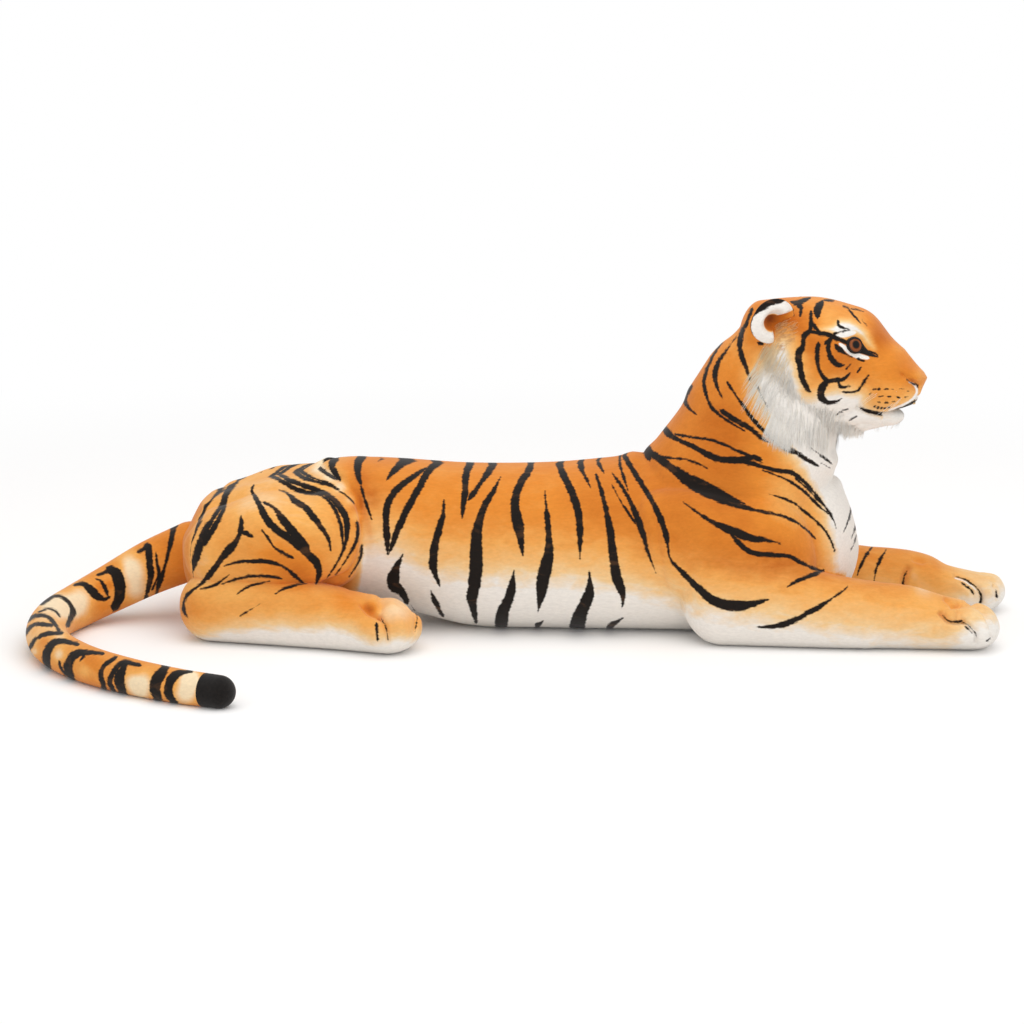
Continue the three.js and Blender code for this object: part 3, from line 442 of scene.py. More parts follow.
def finished(material: Material, shader: Node) -> Material:
    """The material with the shader fed to its output."""
    node(material.node_tree, "OutputMaterial", {0: shader})
    return material


def dress(thing: Object, material: Material, slot: str, *nodes: str, fill: float | None = None) -> None:
    """Gives a piece its material, hides the nodes it stands for and logs its face count."""
    thing.data.materials.append(material)
    if nodes:
        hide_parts(*nodes)
    LOG.info("%s: %d faces", thing.name, len(thing.data.polygons))


def smoothstep(value: Array) -> Array:
    """3 t^2 - 2 t^3 of a value held between 0 and 1."""
    held = np.clip(value, 0, 1)
    return held * held * (3 - 2 * held)


def unit(vectors: Array) -> Array:
    """Vectors divided by their lengths."""
    return vectors / np.maximum(np.linalg.norm(vectors, axis=-1, keepdims=True), 1e-12)


@dataclass(frozen=True)
class Placement:
    """A frame of its own: an origin and three unit axes, as a turned piece has."""

    origin: Triple
    x: Triple
    y: Triple

    @property
    def axes(self) -> Array:
        """Rows are the frame's x, y and z axes."""
        x, y = np.array(self.x), np.array(self.y)
        return np.stack([x, y, np.cross(x, y)])

    def place(self, local: Array) -> Array:
        """Local points in the object's frame: origin + local . axes."""
        return np.array(self.origin) + local @ self.axes

    def read(self, points: Array) -> Array:
        """Points of the object's frame in local coordinates."""
        return (points - np.array(self.origin)) @ self.axes.T

    def near_side(self, points: Array) -> Array:
        """Points with local y turned to -|y|: the side that the photograph shows."""
        local = self.read(points)
        local[:, 1] = -np.abs(local[:, 1])
        return self.place(local)


BODY_PLACE = Placement((0, 0, 0), (1, 0, 0), (0, 1, 0))
NECK_PLACE = Placement((.310108, 0, .246), (.978148, -.207912, 0), (.207912, .978148, 0))
HEAD_PLACE = Placement((.422594, -.023910, .390), (.978148, -.207912, 0), (.206362, .970857, -.121869))
EAR_PLACES = {
    Side.RIGHT: Placement(*table("""
.363109,-.096251,.438095 .471022,-.875655,-.106613 .881647,.463353,.089459
""")),
    Side.LEFT: Placement(*table("""
.399582,.075338,.416556 .776413,.5611,-.286965 -.625393,.742228,-.240792
""")),
}
EYE_PLACE = Placement(*table(".477608,-.099866,.423527 .857062,.393524,-.33254 .166643,.399011,.901677"))


@dataclass(frozen=True)
class PhotoCamera:
    """The photograph's camera, found from the toy's contact points and outline."""

    azimuth: float = 3.0
    elevation: float = 12.0
    distance: float = 4.5
    target_height: float = 0.163
    metres_a_pixel: float = 0.00143
    sensor_mm: float = 36.0

    def axes(self) -> tuple[Array, Array, Array, Array]:
        """The camera's place and its right, up and forward directions."""
        a, e = math.radians(self.azimuth), math.radians(self.elevation)
        forward = np.array([-math.sin(a) * math.cos(e), math.cos(a) * math.cos(e), -math.sin(e)])
        right = np.array([math.cos(a), math.sin(a), 0.0])
        place = np.array([0, 0, self.target_height]) - forward * self.distance
        return place, right, np.cross(right, forward), forward

    def pixels(self, points: Array) -> Array:
        """Points as pixels: half the picture and k * offset / depth, where k is distance / scale."""
        place, right, up, forward = self.axes()
        away = points - place
        k = self.distance / self.metres_a_pixel / (away @ forward)
        return np.stack([PICTURE / 2 + k * (away @ right), PICTURE / 2 - k * (away @ up)], axis=-1)

    def stand(self) -> None:
        """Adds the Blender camera and makes it the scene's own."""
        place, right, up, forward = self.axes()
        data = bpy.data.cameras.new("photo_camera")
        data.sensor_width = self.sensor_mm
        data.lens = self.sensor_mm * self.distance / (PICTURE * self.metres_a_pixel)
        camera = bpy.data.objects.new("photo_camera", data)
        turn = np.eye(4)
        turn[:3, 0], turn[:3, 1], turn[:3, 2], turn[:3, 3] = right, up, -forward, place
        camera.matrix_world = Matrix(turn.tolist())
        bpy.context.collection.objects.link(camera)
        bpy.context.scene.camera = camera


PHOTO = PhotoCamera()


def along_rows(rows: Array, places: Array) -> Array:
    """Catmull-Rom through rows at places 0 to n - 1.

    Between rows b and c, with a before and d after and s from 0 to 1, it is
    (2 b + (c - a) s + (2 a - 5 b + 4 c - d) s^2 + (3 b - a - 3 c + d) s^3) / 2.

    Args:
        rows: the rows, one section each.
        places: where to read them, as fractional row numbers.

    Returns:
        One row for each place.
    """
    last = len(rows) - 1
    i = np.clip(np.floor(places).astype(int), 0, last - 1)
    s = (places - i)[:, None]
    b, c = rows[i], rows[i + 1]
    a = np.where((i > 0)[:, None], rows[np.maximum(i - 1, 0)], 2 * b - c)
    d = np.where((i < last - 1)[:, None], rows[np.minimum(i + 2, last)], 2 * c - b)
    return 0.5 * (2 * b + (c - a) * s + (2 * a - 5 * b + 4 * c - d) * s**2 + (3 * b - a - 3 * c + d) * s**3)


def tube_faces(rings: int, sides: int) -> Array:
    """Quads between rings of points, and fans to two end points that follow the rings.

    Args:
        rings: how many rings.
        sides: points in a ring.

    Returns:
        Rows of four corner numbers; a triangle repeats its last corner.
    """
    i, j = np.meshgrid(np.arange(rings - 1), np.arange(sides), indexing="ij")
    p, q = i * sides + j, i * sides + (j + 1) % sides
    faces = np.stack([p, q, q + sides, p + sides], axis=-1).reshape(-1, 4)
    k = np.arange(sides)
    after, top = (k + 1) % sides, (rings - 1) * sides
    first = np.stack([np.full(sides, rings * sides), after, k, k], axis=-1)
    end = np.stack([np.full(sides, rings * sides + 1), top + k, top + after, top + after], axis=-1)
    return np.concatenate([faces, first, end])


@dataclass(frozen=True)
class Form:
    """A stuffed form: a rounded section carried along a row of sections, with a dome at each end."""

    start: Triple
    size: Triple
    shares: tuple
    domes: tuple[float, float]
    side: int = 1
    square: float = 2.3
    placement: Placement = BODY_PLACE

    def rows(self) -> Array:
        """The sections in metres and radians."""
        t = np.array(self.shares, float)
        length, width, height = self.size
        x = self.start[0] + t[:, 0] * length
        y = self.start[1] + self.side * t[:, 1] * width
        z = self.start[2] + t[:, 2] * height
        pitch, yaw = np.radians(t[:, 3]), self.side * np.radians(t[:, 4])
        return np.stack([x, y, z, pitch, yaw, t[:, 5] * width, t[:, 6] * height, t[:, 7] * height], axis=-1)

    def mesh(self, along: int = 60, around: int = 64, dome_steps: int = 14) -> tuple[Array, Array]:
        """The closed surface.

        At place u and angle v its point is middle + across * width * sgn(cos v) |cos v|^(2 / square)
        + up * height * sgn(sin v) |sin v|^(2 / square), and in a dome the section moves out by
        L sin w while it shrinks by cos w.

        Args:
            along: rings between the domes.
            around: points in a ring.
            dome_steps: rings in each dome.

        Returns:
            The points and the faces.
        """
        rows = self.rows()
        last = len(rows) - 1
        turn = np.linspace(math.pi / 2, 0, dome_steps, endpoint=False)[1:]
        places = np.concatenate([np.zeros_like(turn), np.linspace(0, last, along), np.full_like(turn, last)])
        rear, front = self.domes
        out = np.concatenate([-rear * np.sin(turn), np.zeros(along), front * np.sin(turn[::-1])])
        grow = np.concatenate([np.cos(turn), np.ones(along), np.cos(turn[::-1])])
        s = along_rows(rows, places)
        middle, ahead, up, across = self.frames(s)
        v = np.linspace(0, 2 * math.pi, around, endpoint=False)
        a = np.sign(np.cos(v)) * np.abs(np.cos(v)) ** (2 / self.square)
        b = np.sign(np.sin(v)) * np.abs(np.sin(v)) ** (2 / self.square)
        wide = (s[:, 5] * grow)[:, None] * a
        high = np.where(b > 0, s[:, 6, None], s[:, 7, None]) * b * grow[:, None]
        centre = middle + ahead * out[:, None]
        points = centre[:, None] + across[:, None] * wide[..., None] + up[:, None] * high[..., None]
        ends = np.stack([middle[0] - ahead[0] * rear, middle[-1] + ahead[-1] * front])
        points = np.concatenate([points.reshape(-1, 3), ends])
        return self.placement.place(points), tube_faces(len(places), around)

    def skin(self, voxel: float, rounds: int) -> "Skin":
        """The form as an even skin, smoothed a little."""
        made = Skin.joined([self.mesh()]).remeshed(voxel)
        made.relax(rounds)
        made.find_normals()
        return made

    @staticmethod
    def frames(rows: Array) -> tuple[Array, Array, Array, Array]:
        """Middle, ahead, up and across of each section, from its place, pitch and yaw."""
        pitch, yaw = rows[:, 3], rows[:, 4]
        flat, sink = np.cos(pitch), -np.sin(pitch)
        ahead = np.stack([flat * np.cos(yaw), flat * np.sin(yaw), np.sin(pitch)], axis=-1)
        up = np.stack([sink * np.cos(yaw), sink * np.sin(yaw), flat], axis=-1)
        return rows[:, :3], ahead, up, np.cross(up, ahead)


@dataclass
class Skin:
    """A mesh held as arrays while it is shaped."""

    points: Array
    faces: Array
    normals: Array | None = None

    @classmethod
    def joined(cls, parts: list[tuple[Array, Array]]) -> "Skin":
        """Several closed surfaces as one bag of points and faces."""
        starts = np.cumsum([0] + [len(points) for points, _ in parts[:-1]])
        points = np.concatenate([points for points, _ in parts])
        faces = np.concatenate([faces + start for (_, faces), start in zip(parts, starts)])
        return cls(points, faces)

    def to_mesh(self, name: str) -> Mesh:
        """A Blender mesh of the points and faces."""
        mesh = bpy.data.meshes.new(name)
        three = self.faces[:, 2] == self.faces[:, 3]
        faces = self.faces[~three].tolist() + self.faces[three][:, :3].tolist()
        mesh.from_pydata(self.points.tolist(), [], faces)
        mesh.update()
        return mesh

    @classmethod
    def from_mesh(cls, mesh: Mesh) -> "Skin":
        """Arrays of a mesh of quads and triangles, with its normals."""

        def read(items: bpy_prop_collection, key: str, width: int = 1, kind: type = float) -> Array:
            """One attribute of every item, width values each."""
            values = np.empty(len(items) * width, kind)
            items.foreach_get(key, values)
            return values.reshape(-1, width) if width > 1 else values

        starts = read(mesh.polygons, "loop_start", kind=int)
        totals = read(mesh.polygons, "loop_total", kind=int)
        corners = read(mesh.loops, "vertex_index", kind=int)
        offset = np.minimum(np.arange(4)[None], totals[:, None] - 1)
        faces = corners[starts[:, None] + offset]
        return cls(read(mesh.vertices, "co", 3), faces, read(mesh.vertex_normals, "vector", 3))

    def remeshed(self, voxel: float) -> "Skin":
        """One skin round everything that the surfaces enclose, of quads about one voxel wide."""
        mesh = self.to_mesh("before_remesh")
        holder = bpy.data.objects.new("before_remesh", mesh)
        bpy.context.collection.objects.link(holder)
        modifier = holder.modifiers.new("voxels", "REMESH")
        modifier.mode, modifier.voxel_size, modifier.adaptivity = "VOXEL", voxel, 0
        evaluated = holder.evaluated_get(bpy.context.evaluated_depsgraph_get())
        made = Skin.from_mesh(evaluated.to_mesh())
        evaluated.to_mesh_clear()
        bpy.data.objects.remove(holder)
        bpy.data.meshes.remove(mesh)
        return made

    def edges(self) -> Array:
        """Each edge once, as rows of two point numbers."""
        return np.unique(np.sort(self.runs(self.faces), axis=1), axis=0)

    @staticmethod
    def runs(faces: Array) -> Array:
        """The sides of faces in their own order, as rows of two point numbers."""
        pairs = np.concatenate([faces[:, [0, 1]], faces[:, [1, 2]], faces[:, [2, 3]], faces[:, [3, 0]]])
        return pairs[pairs[:, 0] != pairs[:, 1]]

    def relax(self, rounds: int, amount: Array | float = 1.0) -> None:
        """Smooths without shrinking: steps of +0.5 and -0.53 of the way to the neighbours' mean, in turn.

        Args:
            rounds: pairs of steps.
            amount: how much of each step a point takes.
        """
        pairs = self.edges()
        count = len(self.points)
        degree = np.maximum(np.bincount(pairs.ravel(), minlength=count), 1)[:, None]
        weight = np.broadcast_to(np.asarray(amount, float), count)[:, None]
        for step in (0.5, -0.53) * rounds:
            total = np.stack([
                np.bincount(pairs[:, 0], self.points[pairs[:, 1], k], count)
                + np.bincount(pairs[:, 1], self.points[pairs[:, 0], k], count) for k in range(3)
            ], axis=-1)
            self.points = self.points + step * weight * (total / degree - self.points)

    def find_normals(self) -> None:
        """Sets each point's normal: the sum of (c - a) x (d - b) over its quads abcd, made unit."""
        a, b, c, d = (self.points[self.faces[:, k]] for k in range(4))
        crossed = np.cross(c - a, d - b)
        total = np.zeros_like(self.points)
        for k in range(4):
            for axis in range(3):
                total[:, axis] += np.bincount(self.faces[:, k], crossed[:, axis], len(self.points))
        self.normals = unit(total)

    def face_out(self) -> None:
        """Turns every face round if the enclosed volume is negative, and finds the normals."""
        a, b, c, d = (self.points[self.faces[:, k]] for k in range(4))
        if (np.cross(b - a, c - a) * a).sum() + (np.cross(c - a, d - a) * a).sum() < 0:
            three = (self.faces[:, 2] == self.faces[:, 3])[:, None]
            self.faces = np.where(three, self.faces[:, [0, 2, 1, 1]], self.faces[:, [0, 3, 2, 1]])
        self.find_normals()

    def halved(self) -> "Skin":
        """Each quad cut into four by the middles of its edges and its own middle."""
        count = len(self.points)
        sides = np.stack([self.faces, np.roll(self.faces, -1, axis=1)], axis=-1).reshape(-1, 2)
        pairs, which = np.unique(np.sort(sides, axis=1), axis=0, return_inverse=True)
        middle = count + which.reshape(-1, 4)
        hub = np.broadcast_to(count + len(pairs) + np.arange(len(self.faces))[:, None], middle.shape)
        faces = np.stack([self.faces, middle, hub, np.roll(middle, 1, axis=1)], axis=-1).reshape(-1, 4)
        points, normals = (np.concatenate([v, v[pairs].mean(axis=1), v[self.faces].mean(axis=1)])
                           for v in (self.points, self.normals))
        return Skin(points, faces, unit(normals))

    def part(self, chosen: Array, finer: bool = False) -> "Skin":
        """The chosen faces as a skin of their own, with each cut closed by a fan inside.

        Args:
            chosen: one truth value for each face.
            finer: whether each face is cut into four.

        Returns:
            The new skin, with the whole skin's normals along the cut.
        """
        faces = self.faces[chosen]
        used, flat = np.unique(faces, return_inverse=True)
        faces = flat.reshape(-1, 4)
        points, normals = self.points[used], self.normals[used]
        if finer:
            made = Skin(points, faces, normals).halved()
            points, faces, normals = made.points, made.faces, made.normals
        runs = self.runs(faces)
        count = len(points)
        open_runs = runs[~np.isin(runs[:, 0] * count + runs[:, 1], runs[:, 1] * count + runs[:, 0])]
        if len(open_runs):
            label = np.arange(count)
            while True:
                low = np.minimum(label[open_runs[:, 0]], label[open_runs[:, 1]])
                new = label.copy()
                np.minimum.at(new, open_runs[:, 0], low)
                np.minimum.at(new, open_runs[:, 1], low)
                if (new == label).all():
                    break
                label = new
            loops, which = np.unique(label[open_runs[:, 0]], return_inverse=True)
            middles = np.stack([
                np.bincount(which, points[open_runs[:, 0], k]) / np.bincount(which) for k in range(3)
            ], axis=-1)
            hub = count + which
            fans = np.stack([open_runs[:, 1], open_runs[:, 0], hub, hub], axis=-1)
            faces = np.concatenate([faces, fans])
            points = np.concatenate([points, middles])
            normals = np.concatenate([normals, np.tile([0.0, 0, 1.0], (len(loops), 1))])
        return Skin(points, faces, normals)

    def mix_normals(self, inherited: Array, past: Array) -> None:
        """Finds the normals, keeps the inherited ones up to 4 mm past a cut and mixes them until 16 mm."""
        self.find_normals()
        share = smoothstep((past - .004) / .012)[:, None]
        self.normals = unit(inherited * (1 - share) + self.normals * share)

    def rest(self) -> None:
        """Flattens what would sink below the floor onto it."""
        self.points[:, 2] = np.maximum(self.points[:, 2], 0)

    def settle(self, rounds: int) -> None:
        """Rests it on the floor before and after some smoothing, and finds the normals."""
        self.rest()
        self.relax(rounds)
        self.rest()
        self.find_normals()

    def to_object(self, name: str, keep_normals: bool = True) -> Object:
        """A smooth-shaded object at the origin, with this skin's normals where they are kept."""
        mesh = self.to_mesh(name)
        mesh.shade_smooth()
        if keep_normals and self.normals is not None:
            mesh.normals_split_custom_set_from_vertices(self.normals.tolist())
        made = bpy.data.objects.new(name, mesh)
        bpy.context.collection.objects.link(made)
        return made


def write_attribute(thing: Object, name: str, values: Array) -> None:
    """Writes one number or one vector for each point of a mesh."""
    kind, key = ("FLOAT", "value") if values.ndim == 1 else ("FLOAT_VECTOR", "vector")
    attribute = thing.data.attributes.new(name, kind, "POINT")
    attribute.data.foreach_set(key, np.ascontiguousarray(values, dtype=np.float32).ravel())


def beside(points: Array, start: Array, step: Array) -> tuple[Array, Array, Array]:
    """Points beside straight steps: the offset from each start, the share along each and the distance."""
    away = points[:, None] - start
    along = (away * step).sum(axis=-1) / np.maximum((step**2).sum(axis=-1), 1e-12)
    return away, along, np.linalg.norm(away - np.clip(along, 0, 1)[..., None] * step, axis=-1)


@dataclass(eq=False)
class Strokes:
    """Lines of pixels with widths, shared among channels so that near lines never share one."""

    text: str
    # A line's reach past its edge, the share of its width kept and the least gap within a channel
    reach: float = 6.0
    share: float = 0.87
    spacing: float = 13.0
    lines: list[Array] = field(init=False)
    channels: list[int] = field(init=False)

    def __post_init__(self) -> None:
        """Reads the lines and gives each a channel; a line goes on in a row that begins with a space."""
        rows = self.text.replace("\n ", " ").strip().splitlines()
        self.lines = [self.fine(np.array(table(row))) for row in rows]
        self.channels = []
        for i, line in enumerate(self.lines):
            taken = {self.channels[j] for j in range(i) if self.gap(line, self.lines[j]) < self.spacing}
            self.channels.append(min(set(range(len(taken) + 1)) - taken))

    @property
    def count(self) -> int:
        """How many channels are in use."""
        return max(self.channels) + 1

    @staticmethod
    def fine(line: Array) -> Array:
        """The line with six points for each of its own, on a Catmull-Rom curve."""
        return along_rows(line, np.linspace(0, len(line) - 1, (len(line) - 1) * 6 + 1))

    @staticmethod
    def gap(one: Array, other: Array) -> float:
        """The least distance between the edges of two lines."""
        apart = np.linalg.norm(one[:, None, :2] - other[None, :, :2], axis=-1)
        return float((apart - one[:, None, 2] / 2 - other[None, :, 2] / 2).min())

    def lay(self, pixels: Array) -> list[Array]:
        """Lays the lines on points.

        Args:
            pixels: each point's place in the photograph.

        Returns:
            For each channel, rows of the signed distance from the nearest line's middle and that
            line's half width there, both in metres, and a zero.
        """
        scale = PHOTO.metres_a_pixel
        made = [np.tile(NO_MARK, (len(pixels), 1)) for _ in range(self.count)]
        for line, channel in zip(self.lines, self.channels):
            low, high = line[:, :2].min(axis=0) - 16, line[:, :2].max(axis=0) + 16
            near = np.flatnonzero(((pixels > low) & (pixels < high)).all(axis=1))
            step = np.diff(line[:, :2], axis=0)
            length = np.maximum(np.linalg.norm(step, axis=1), 1e-6)
            away, along, apart = beside(pixels[near], line[:-1, :2], step)
            share = np.clip(along, 0, 1)
            best = apart.argmin(axis=1)
            pick = (np.arange(len(near)), best)
            crossed = step[:, 0] * away[..., 1] - step[:, 1] * away[..., 0]
            lateral = (crossed / length)[pick]
            over = np.where((best == 0) | (best == len(step) - 1), (along - share)[pick] * length[best], 0)
            half = (line[:-1, 2] + np.diff(line[:, 2]) * share)[pick] / 2 * self.share - np.abs(over)
            inside = np.abs(over) < 1e-9
            lateral = np.where(inside, np.sign(lateral) * apart[pick], lateral)
            worth = np.abs(lateral) - half
            old = made[channel][near]
            better = (worth < self.reach) & (worth < (np.abs(old[:, 0]) - old[:, 1]) / scale)
            made[channel][near[better]] = np.stack(
                [lateral[better] * scale, half[better] * scale, np.zeros(better.sum())], axis=-1)
        return made


NEAR_STROKES = Strokes(COAT_MARKS_AND_SHADE)
FAR_STROKES = Strokes(FAR_MARKS)
WHITE_STROKES_AND_HIGHLIGHTS = Strokes(WHITE_MARKS_AND_HIGHLIGHTS, spacing=0.0)
TAIL_STROKES = Strokes(TAIL_MARKS)
CHANNELS = max(strokes.count for strokes in (NEAR_STROKES, FAR_STROKES, TAIL_STROKES))


def inside_distance(pixels: Array, corners: tuple) -> Array:
    """The distance to a polygon's edge, positive inside, in pixels."""
    ring = np.array(corners, float)
    start, end = ring, np.roll(ring, -1, axis=0)
    step = end - start
    apart = beside(pixels, start, step)[2].min(axis=1)
    x, y = pixels[:, :1], pixels[:, 1:2]
    rises = (start[:, 1] > y) != (end[:, 1] > y)
    crossing = start[:, 0] + (y - start[:, 1]) / np.where(step[:, 1] == 0, 1e-9, step[:, 1]) * step[:, 0]
    odd = (rises & (x < crossing)).sum(axis=1) % 2
    return np.where(odd == 1, apart, -apart)


@dataclass(frozen=True)
class Print:
    """The coat's print on one piece: marks, the fade to white and the light and deep spots; some marks and
    spots are painted shade and painted highlights.
    """

    strokes: Strokes = NEAR_STROKES
    tones: tuple = TONES_AND_PAINTED_LIGHT
    fade_line: tuple = FADE_LINE
    fade_band: float = 100.0
    field_band: float = 36.0

    def fade(self, pixels: Array) -> Array:
        """How far the ground has turned white: 1 on the line, falling to 0 one band above it."""
        line = np.array(self.fade_line, float)
        below = pixels[:, 1] - np.interp(pixels[:, 0], line[:, 0], line[:, 1])
        return np.clip(1 + (below - 4) / self.fade_band, 0, 1.2)

    def put_on(self, thing: Object, pixels: Array, chest: Array | None = None,
               fade: Array | None = None, bare: Array | None = None) -> None:
        """Writes the coat's attributes on a piece.

        Args:
            thing: the piece.
            pixels: each point's place in the photograph.
            chest: how far the white of brow, cheek and chest may lie on it, or None for nowhere.
            fade: how white each point is, where that isn't read from the photograph's line.
            bare: the points that are white and bear no marks, if any.
        """
        layers = self.strokes.lay(pixels)
        blank = np.tile(NO_MARK, (len(pixels), 1))
        for layer in layers if bare is not None else ():
            layer[bare > 0.5] = blank[0]
        for i in range(CHANNELS):
            write_attribute(thing, f"mark_{i}", layers[i] if i < len(layers) else blank)
        pale = blank if self.strokes is TAIL_STROKES else WHITE_STROKES_AND_HIGHLIGHTS.lay(pixels)[0]
        write_attribute(thing, "white_mark", pale)
        fade = self.fade(pixels) if fade is None else fade
        if chest is not None:
            for corners, edge, band in ((WHITE_FIELD, 0.93, self.field_band), (BROW_FIELD, 0.70, 14.0)):
                inside = np.clip(edge + inside_distance(pixels, corners) / band, 0, 1.2)
                fade = np.maximum(fade, chest * inside)
        write_attribute(thing, "whiteness", fade if bare is None else np.maximum(fade, 1.1 * bare))
        spots = np.array(self.tones, float)
        apart = np.linalg.norm(pixels[:, None] - spots[:, :2], axis=-1)
        write_attribute(thing, "tone_and_painted_light", (np.exp(-(apart / spots[:, 2]) ** 2) * spots[:, 3]).sum(axis=1))


def plain_print(thing: Object, whiteness: Array, tone_and_painted_light: Array, black: Array | None = None) -> None:
    """Writes the coat's attributes on a piece without marks of the photograph's lines.

    Args:
        thing: the piece.
        whiteness: how white each point is.
        tone_and_painted_light: how light or deep its ground is.
        black: how far each point lies inside black, in metres, or None for nowhere.
    """
    blank = np.tile(NO_MARK, (len(whiteness), 1))
    inside = blank if black is None else np.stack([0 * black + 0.05, 0.05 + black, 0 * black], axis=-1)
    for i in range(CHANNELS):
        write_attribute(thing, f"mark_{i}", inside if i == 0 else blank)
    write_attribute(thing, "white_mark", blank)
    write_attribute(thing, "whiteness", whiteness)
    write_attribute(thing, "tone_and_painted_light", tone_and_painted_light)


@dataclass(frozen=True)
class PlushFinish:
    """Short-pile polyester plush, printed.

    The real cloth is matt: its pile scatters light at grazing angles into a faint halo, its clumps show as
    soft lighter and darker flecks, and ink printed on pile has a ragged edge and wears brown.
    """

    name: str
    # The darkest colour is painted shade for creases, folds and the ear's hollow
    painted_crease_shade: str = "#7E3B12"
    deep: str = "#BC6219"
    ground: str = "#DE8832"
    light: str = "#EDAC5C"
    cream: str = "#F4DDB8"
    white: str = "#EDE8E1"
    white_print_and_highlight: str = "#F4F0EA"
    black: str = "#1E1916"
    brown: str = "#4A3322"
    pile_mm: float = 1.6
    clump_mm: float = 5.0
    ragged_mm: float = 1.5
    edge_mm: float = 0.9
    roughness: float = 0.92
    sheen: float = 0.16

    def marked(self, tree: NodeTree, names: list[str], ragged_mm: float, clump, pile) -> Node:
        """1 inside the marks of some attributes and 0 outside.

        The edge lies where the least of |distance| - half width over the attributes is zero, made ragged by
        noise of the clumps' and the pile's own sizes.
        """
        least = None
        for name in names:
            parts = node(tree, "SeparateXYZ", {0: attribute(tree, name, "Vector")})
            apart = maths(tree, "SUBTRACT", maths(tree, "ABSOLUTE", parts), parts.outputs[1])
            least = apart if least is None else maths(tree, "MINIMUM", least, apart)
        rough = maths(tree, "ADD", maths(tree, "MULTIPLY", clump, 3.2 * ragged_mm * MM),
                      maths(tree, "MULTIPLY", pile, 3.0 * ragged_mm * MM))
        return remap(tree, maths(tree, "ADD", least, rough), (self.edge_mm * MM, -self.edge_mm * MM))

    def make(self) -> Material:
        """Builds the material: ground coloured by tone with painted shade and highlights, faded ground,
        white print, black print, each over the last.
        """
        material, tree = new_material(self.name)
        # The pile lies along the body, so the noise is drawn long in X
        place = node(tree, "TexCoord").outputs["Object"]
        lying = node(tree, "Mapping", {"Vector": place, "Scale": (0.45, 1.0, 1.0)})
        pile = noise(tree, 1 / (self.pile_mm * MM) / 2, 3.0, 0.6, place=lying)
        clump = noise(tree, 1 / (self.clump_mm * MM) / 3, 4.0, 0.55, 0.4, place=lying)
        pile_swing, clump_swing, patch_swing = (
            maths(tree, "SUBTRACT", fac, 0.5) for fac in (pile, clump, noise(tree, 14.0, 3.0)))
        shade = maths(tree, "ADD", attribute(tree, "tone_and_painted_light"), maths(tree, "MULTIPLY", patch_swing, 1.3))
        shade = maths(tree, "ADD", shade, maths(tree, "MULTIPLY", clump_swing, 0.8))
        # Tones from -2.8, the darkest, to 2.4, the palest. Below about -1.6 they are painted shade in
        # creases, folds and the ear's hollow, and the palest include the haunch's painted highlight
        share = maths(tree, "MULTIPLY", maths(tree, "ADD", shade, 2.8), 1 / 5.2, clamp=True)
        ramp_colour = ramp(tree, share, (
            (0, self.painted_crease_shade), (0.23, self.deep), (0.54, self.ground), (0.755, self.light), (1, self.cream),
        ))
        unsure = maths(tree, "ADD", attribute(tree, "whiteness"), maths(tree, "MULTIPLY", clump_swing, 0.3))
        # Faded cloth goes by way of gold and cream, not grey
        fading = ramp(tree, maths(tree, "MULTIPLY", unsure, 0.8, clamp=True), (
            (0.3, "#E39648"), (0.48, "#ECA95A"), (0.6, "#EDB672"), (0.7, "#EEC892"), (0.76, "#ECD6B8"),
            (0.84, self.white),
        ))
        ground = mix(tree, remap(tree, unsure, (0.2, 0.75), kind="SMOOTHSTEP"), ramp_colour, fading)
        # White print, and painted highlights beside the paws' toe lines
        pale = self.marked(tree, ["white_mark"], 0.6, clump_swing, pile_swing)
        ground = mix(tree, pale, ground, colour(self.white_print_and_highlight))
        # Black print. It also colours the painted shade below the ear's lobe
        ink_and_shade = mix(tree, remap(tree, clump, (0.56, 0.74)), colour(self.black), colour(self.brown))
        names = [f"mark_{i}" for i in range(CHANNELS)]
        inked_and_shaded = self.marked(tree, names, self.ragged_mm, clump_swing, pile_swing)
        lift = remap(tree, pile, (0.25, 0.75), (0.93, 1.06))
        coat = node(tree, "VectorMath", {0: mix(tree, inked_and_shaded, ground, ink_and_shade), "Scale": lift}, operation="SCALE")
        height = maths(tree, "ADD", maths(tree, "MULTIPLY", pile, 0.6), maths(tree, "MULTIPLY", clump, 1.6))
        return finished(material, node(tree, "BsdfPrincipled", {
            "Base Color": coat, "Roughness": self.roughness, "IOR": 1.45, "Specular IOR Level": 0.15,
            "Sheen Weight": self.sheen, "Sheen Roughness": 0.45,
            "Normal": node(tree, "Bump", {"Strength": 0.4, "Distance": 1.0 * MM, "Height": height}),
        }))


@dataclass(frozen=True)
class PlainFinish:
    """A pile or felt of one colour: dull and even, with only its own grain to catch the light."""

    name: str
    base: str
    other: str
    grain_mm: float = 2.0
    roughness: float = 0.95
    sheen: float = 0.1
    bump_mm: float = 0.6

    def make(self) -> Material:
        """Builds the material: two shades by noise of the grain's size, which also lifts the surface."""
        material, tree = new_material(self.name)
        grain = noise(tree, 1 / (self.grain_mm * MM) / 2, 3.0, 0.6)
        return finished(material, node(tree, "BsdfPrincipled", {
            "Base Color": ramp(tree, grain, ((0.3, self.base), (0.7, self.other))),
            "Roughness": self.roughness, "IOR": 1.5, "Specular IOR Level": 0.2, "Sheen Weight": self.sheen,
            "Normal": node(tree, "Bump", {"Strength": 0.5, "Distance": self.bump_mm * MM, "Height": grain}),
        }))


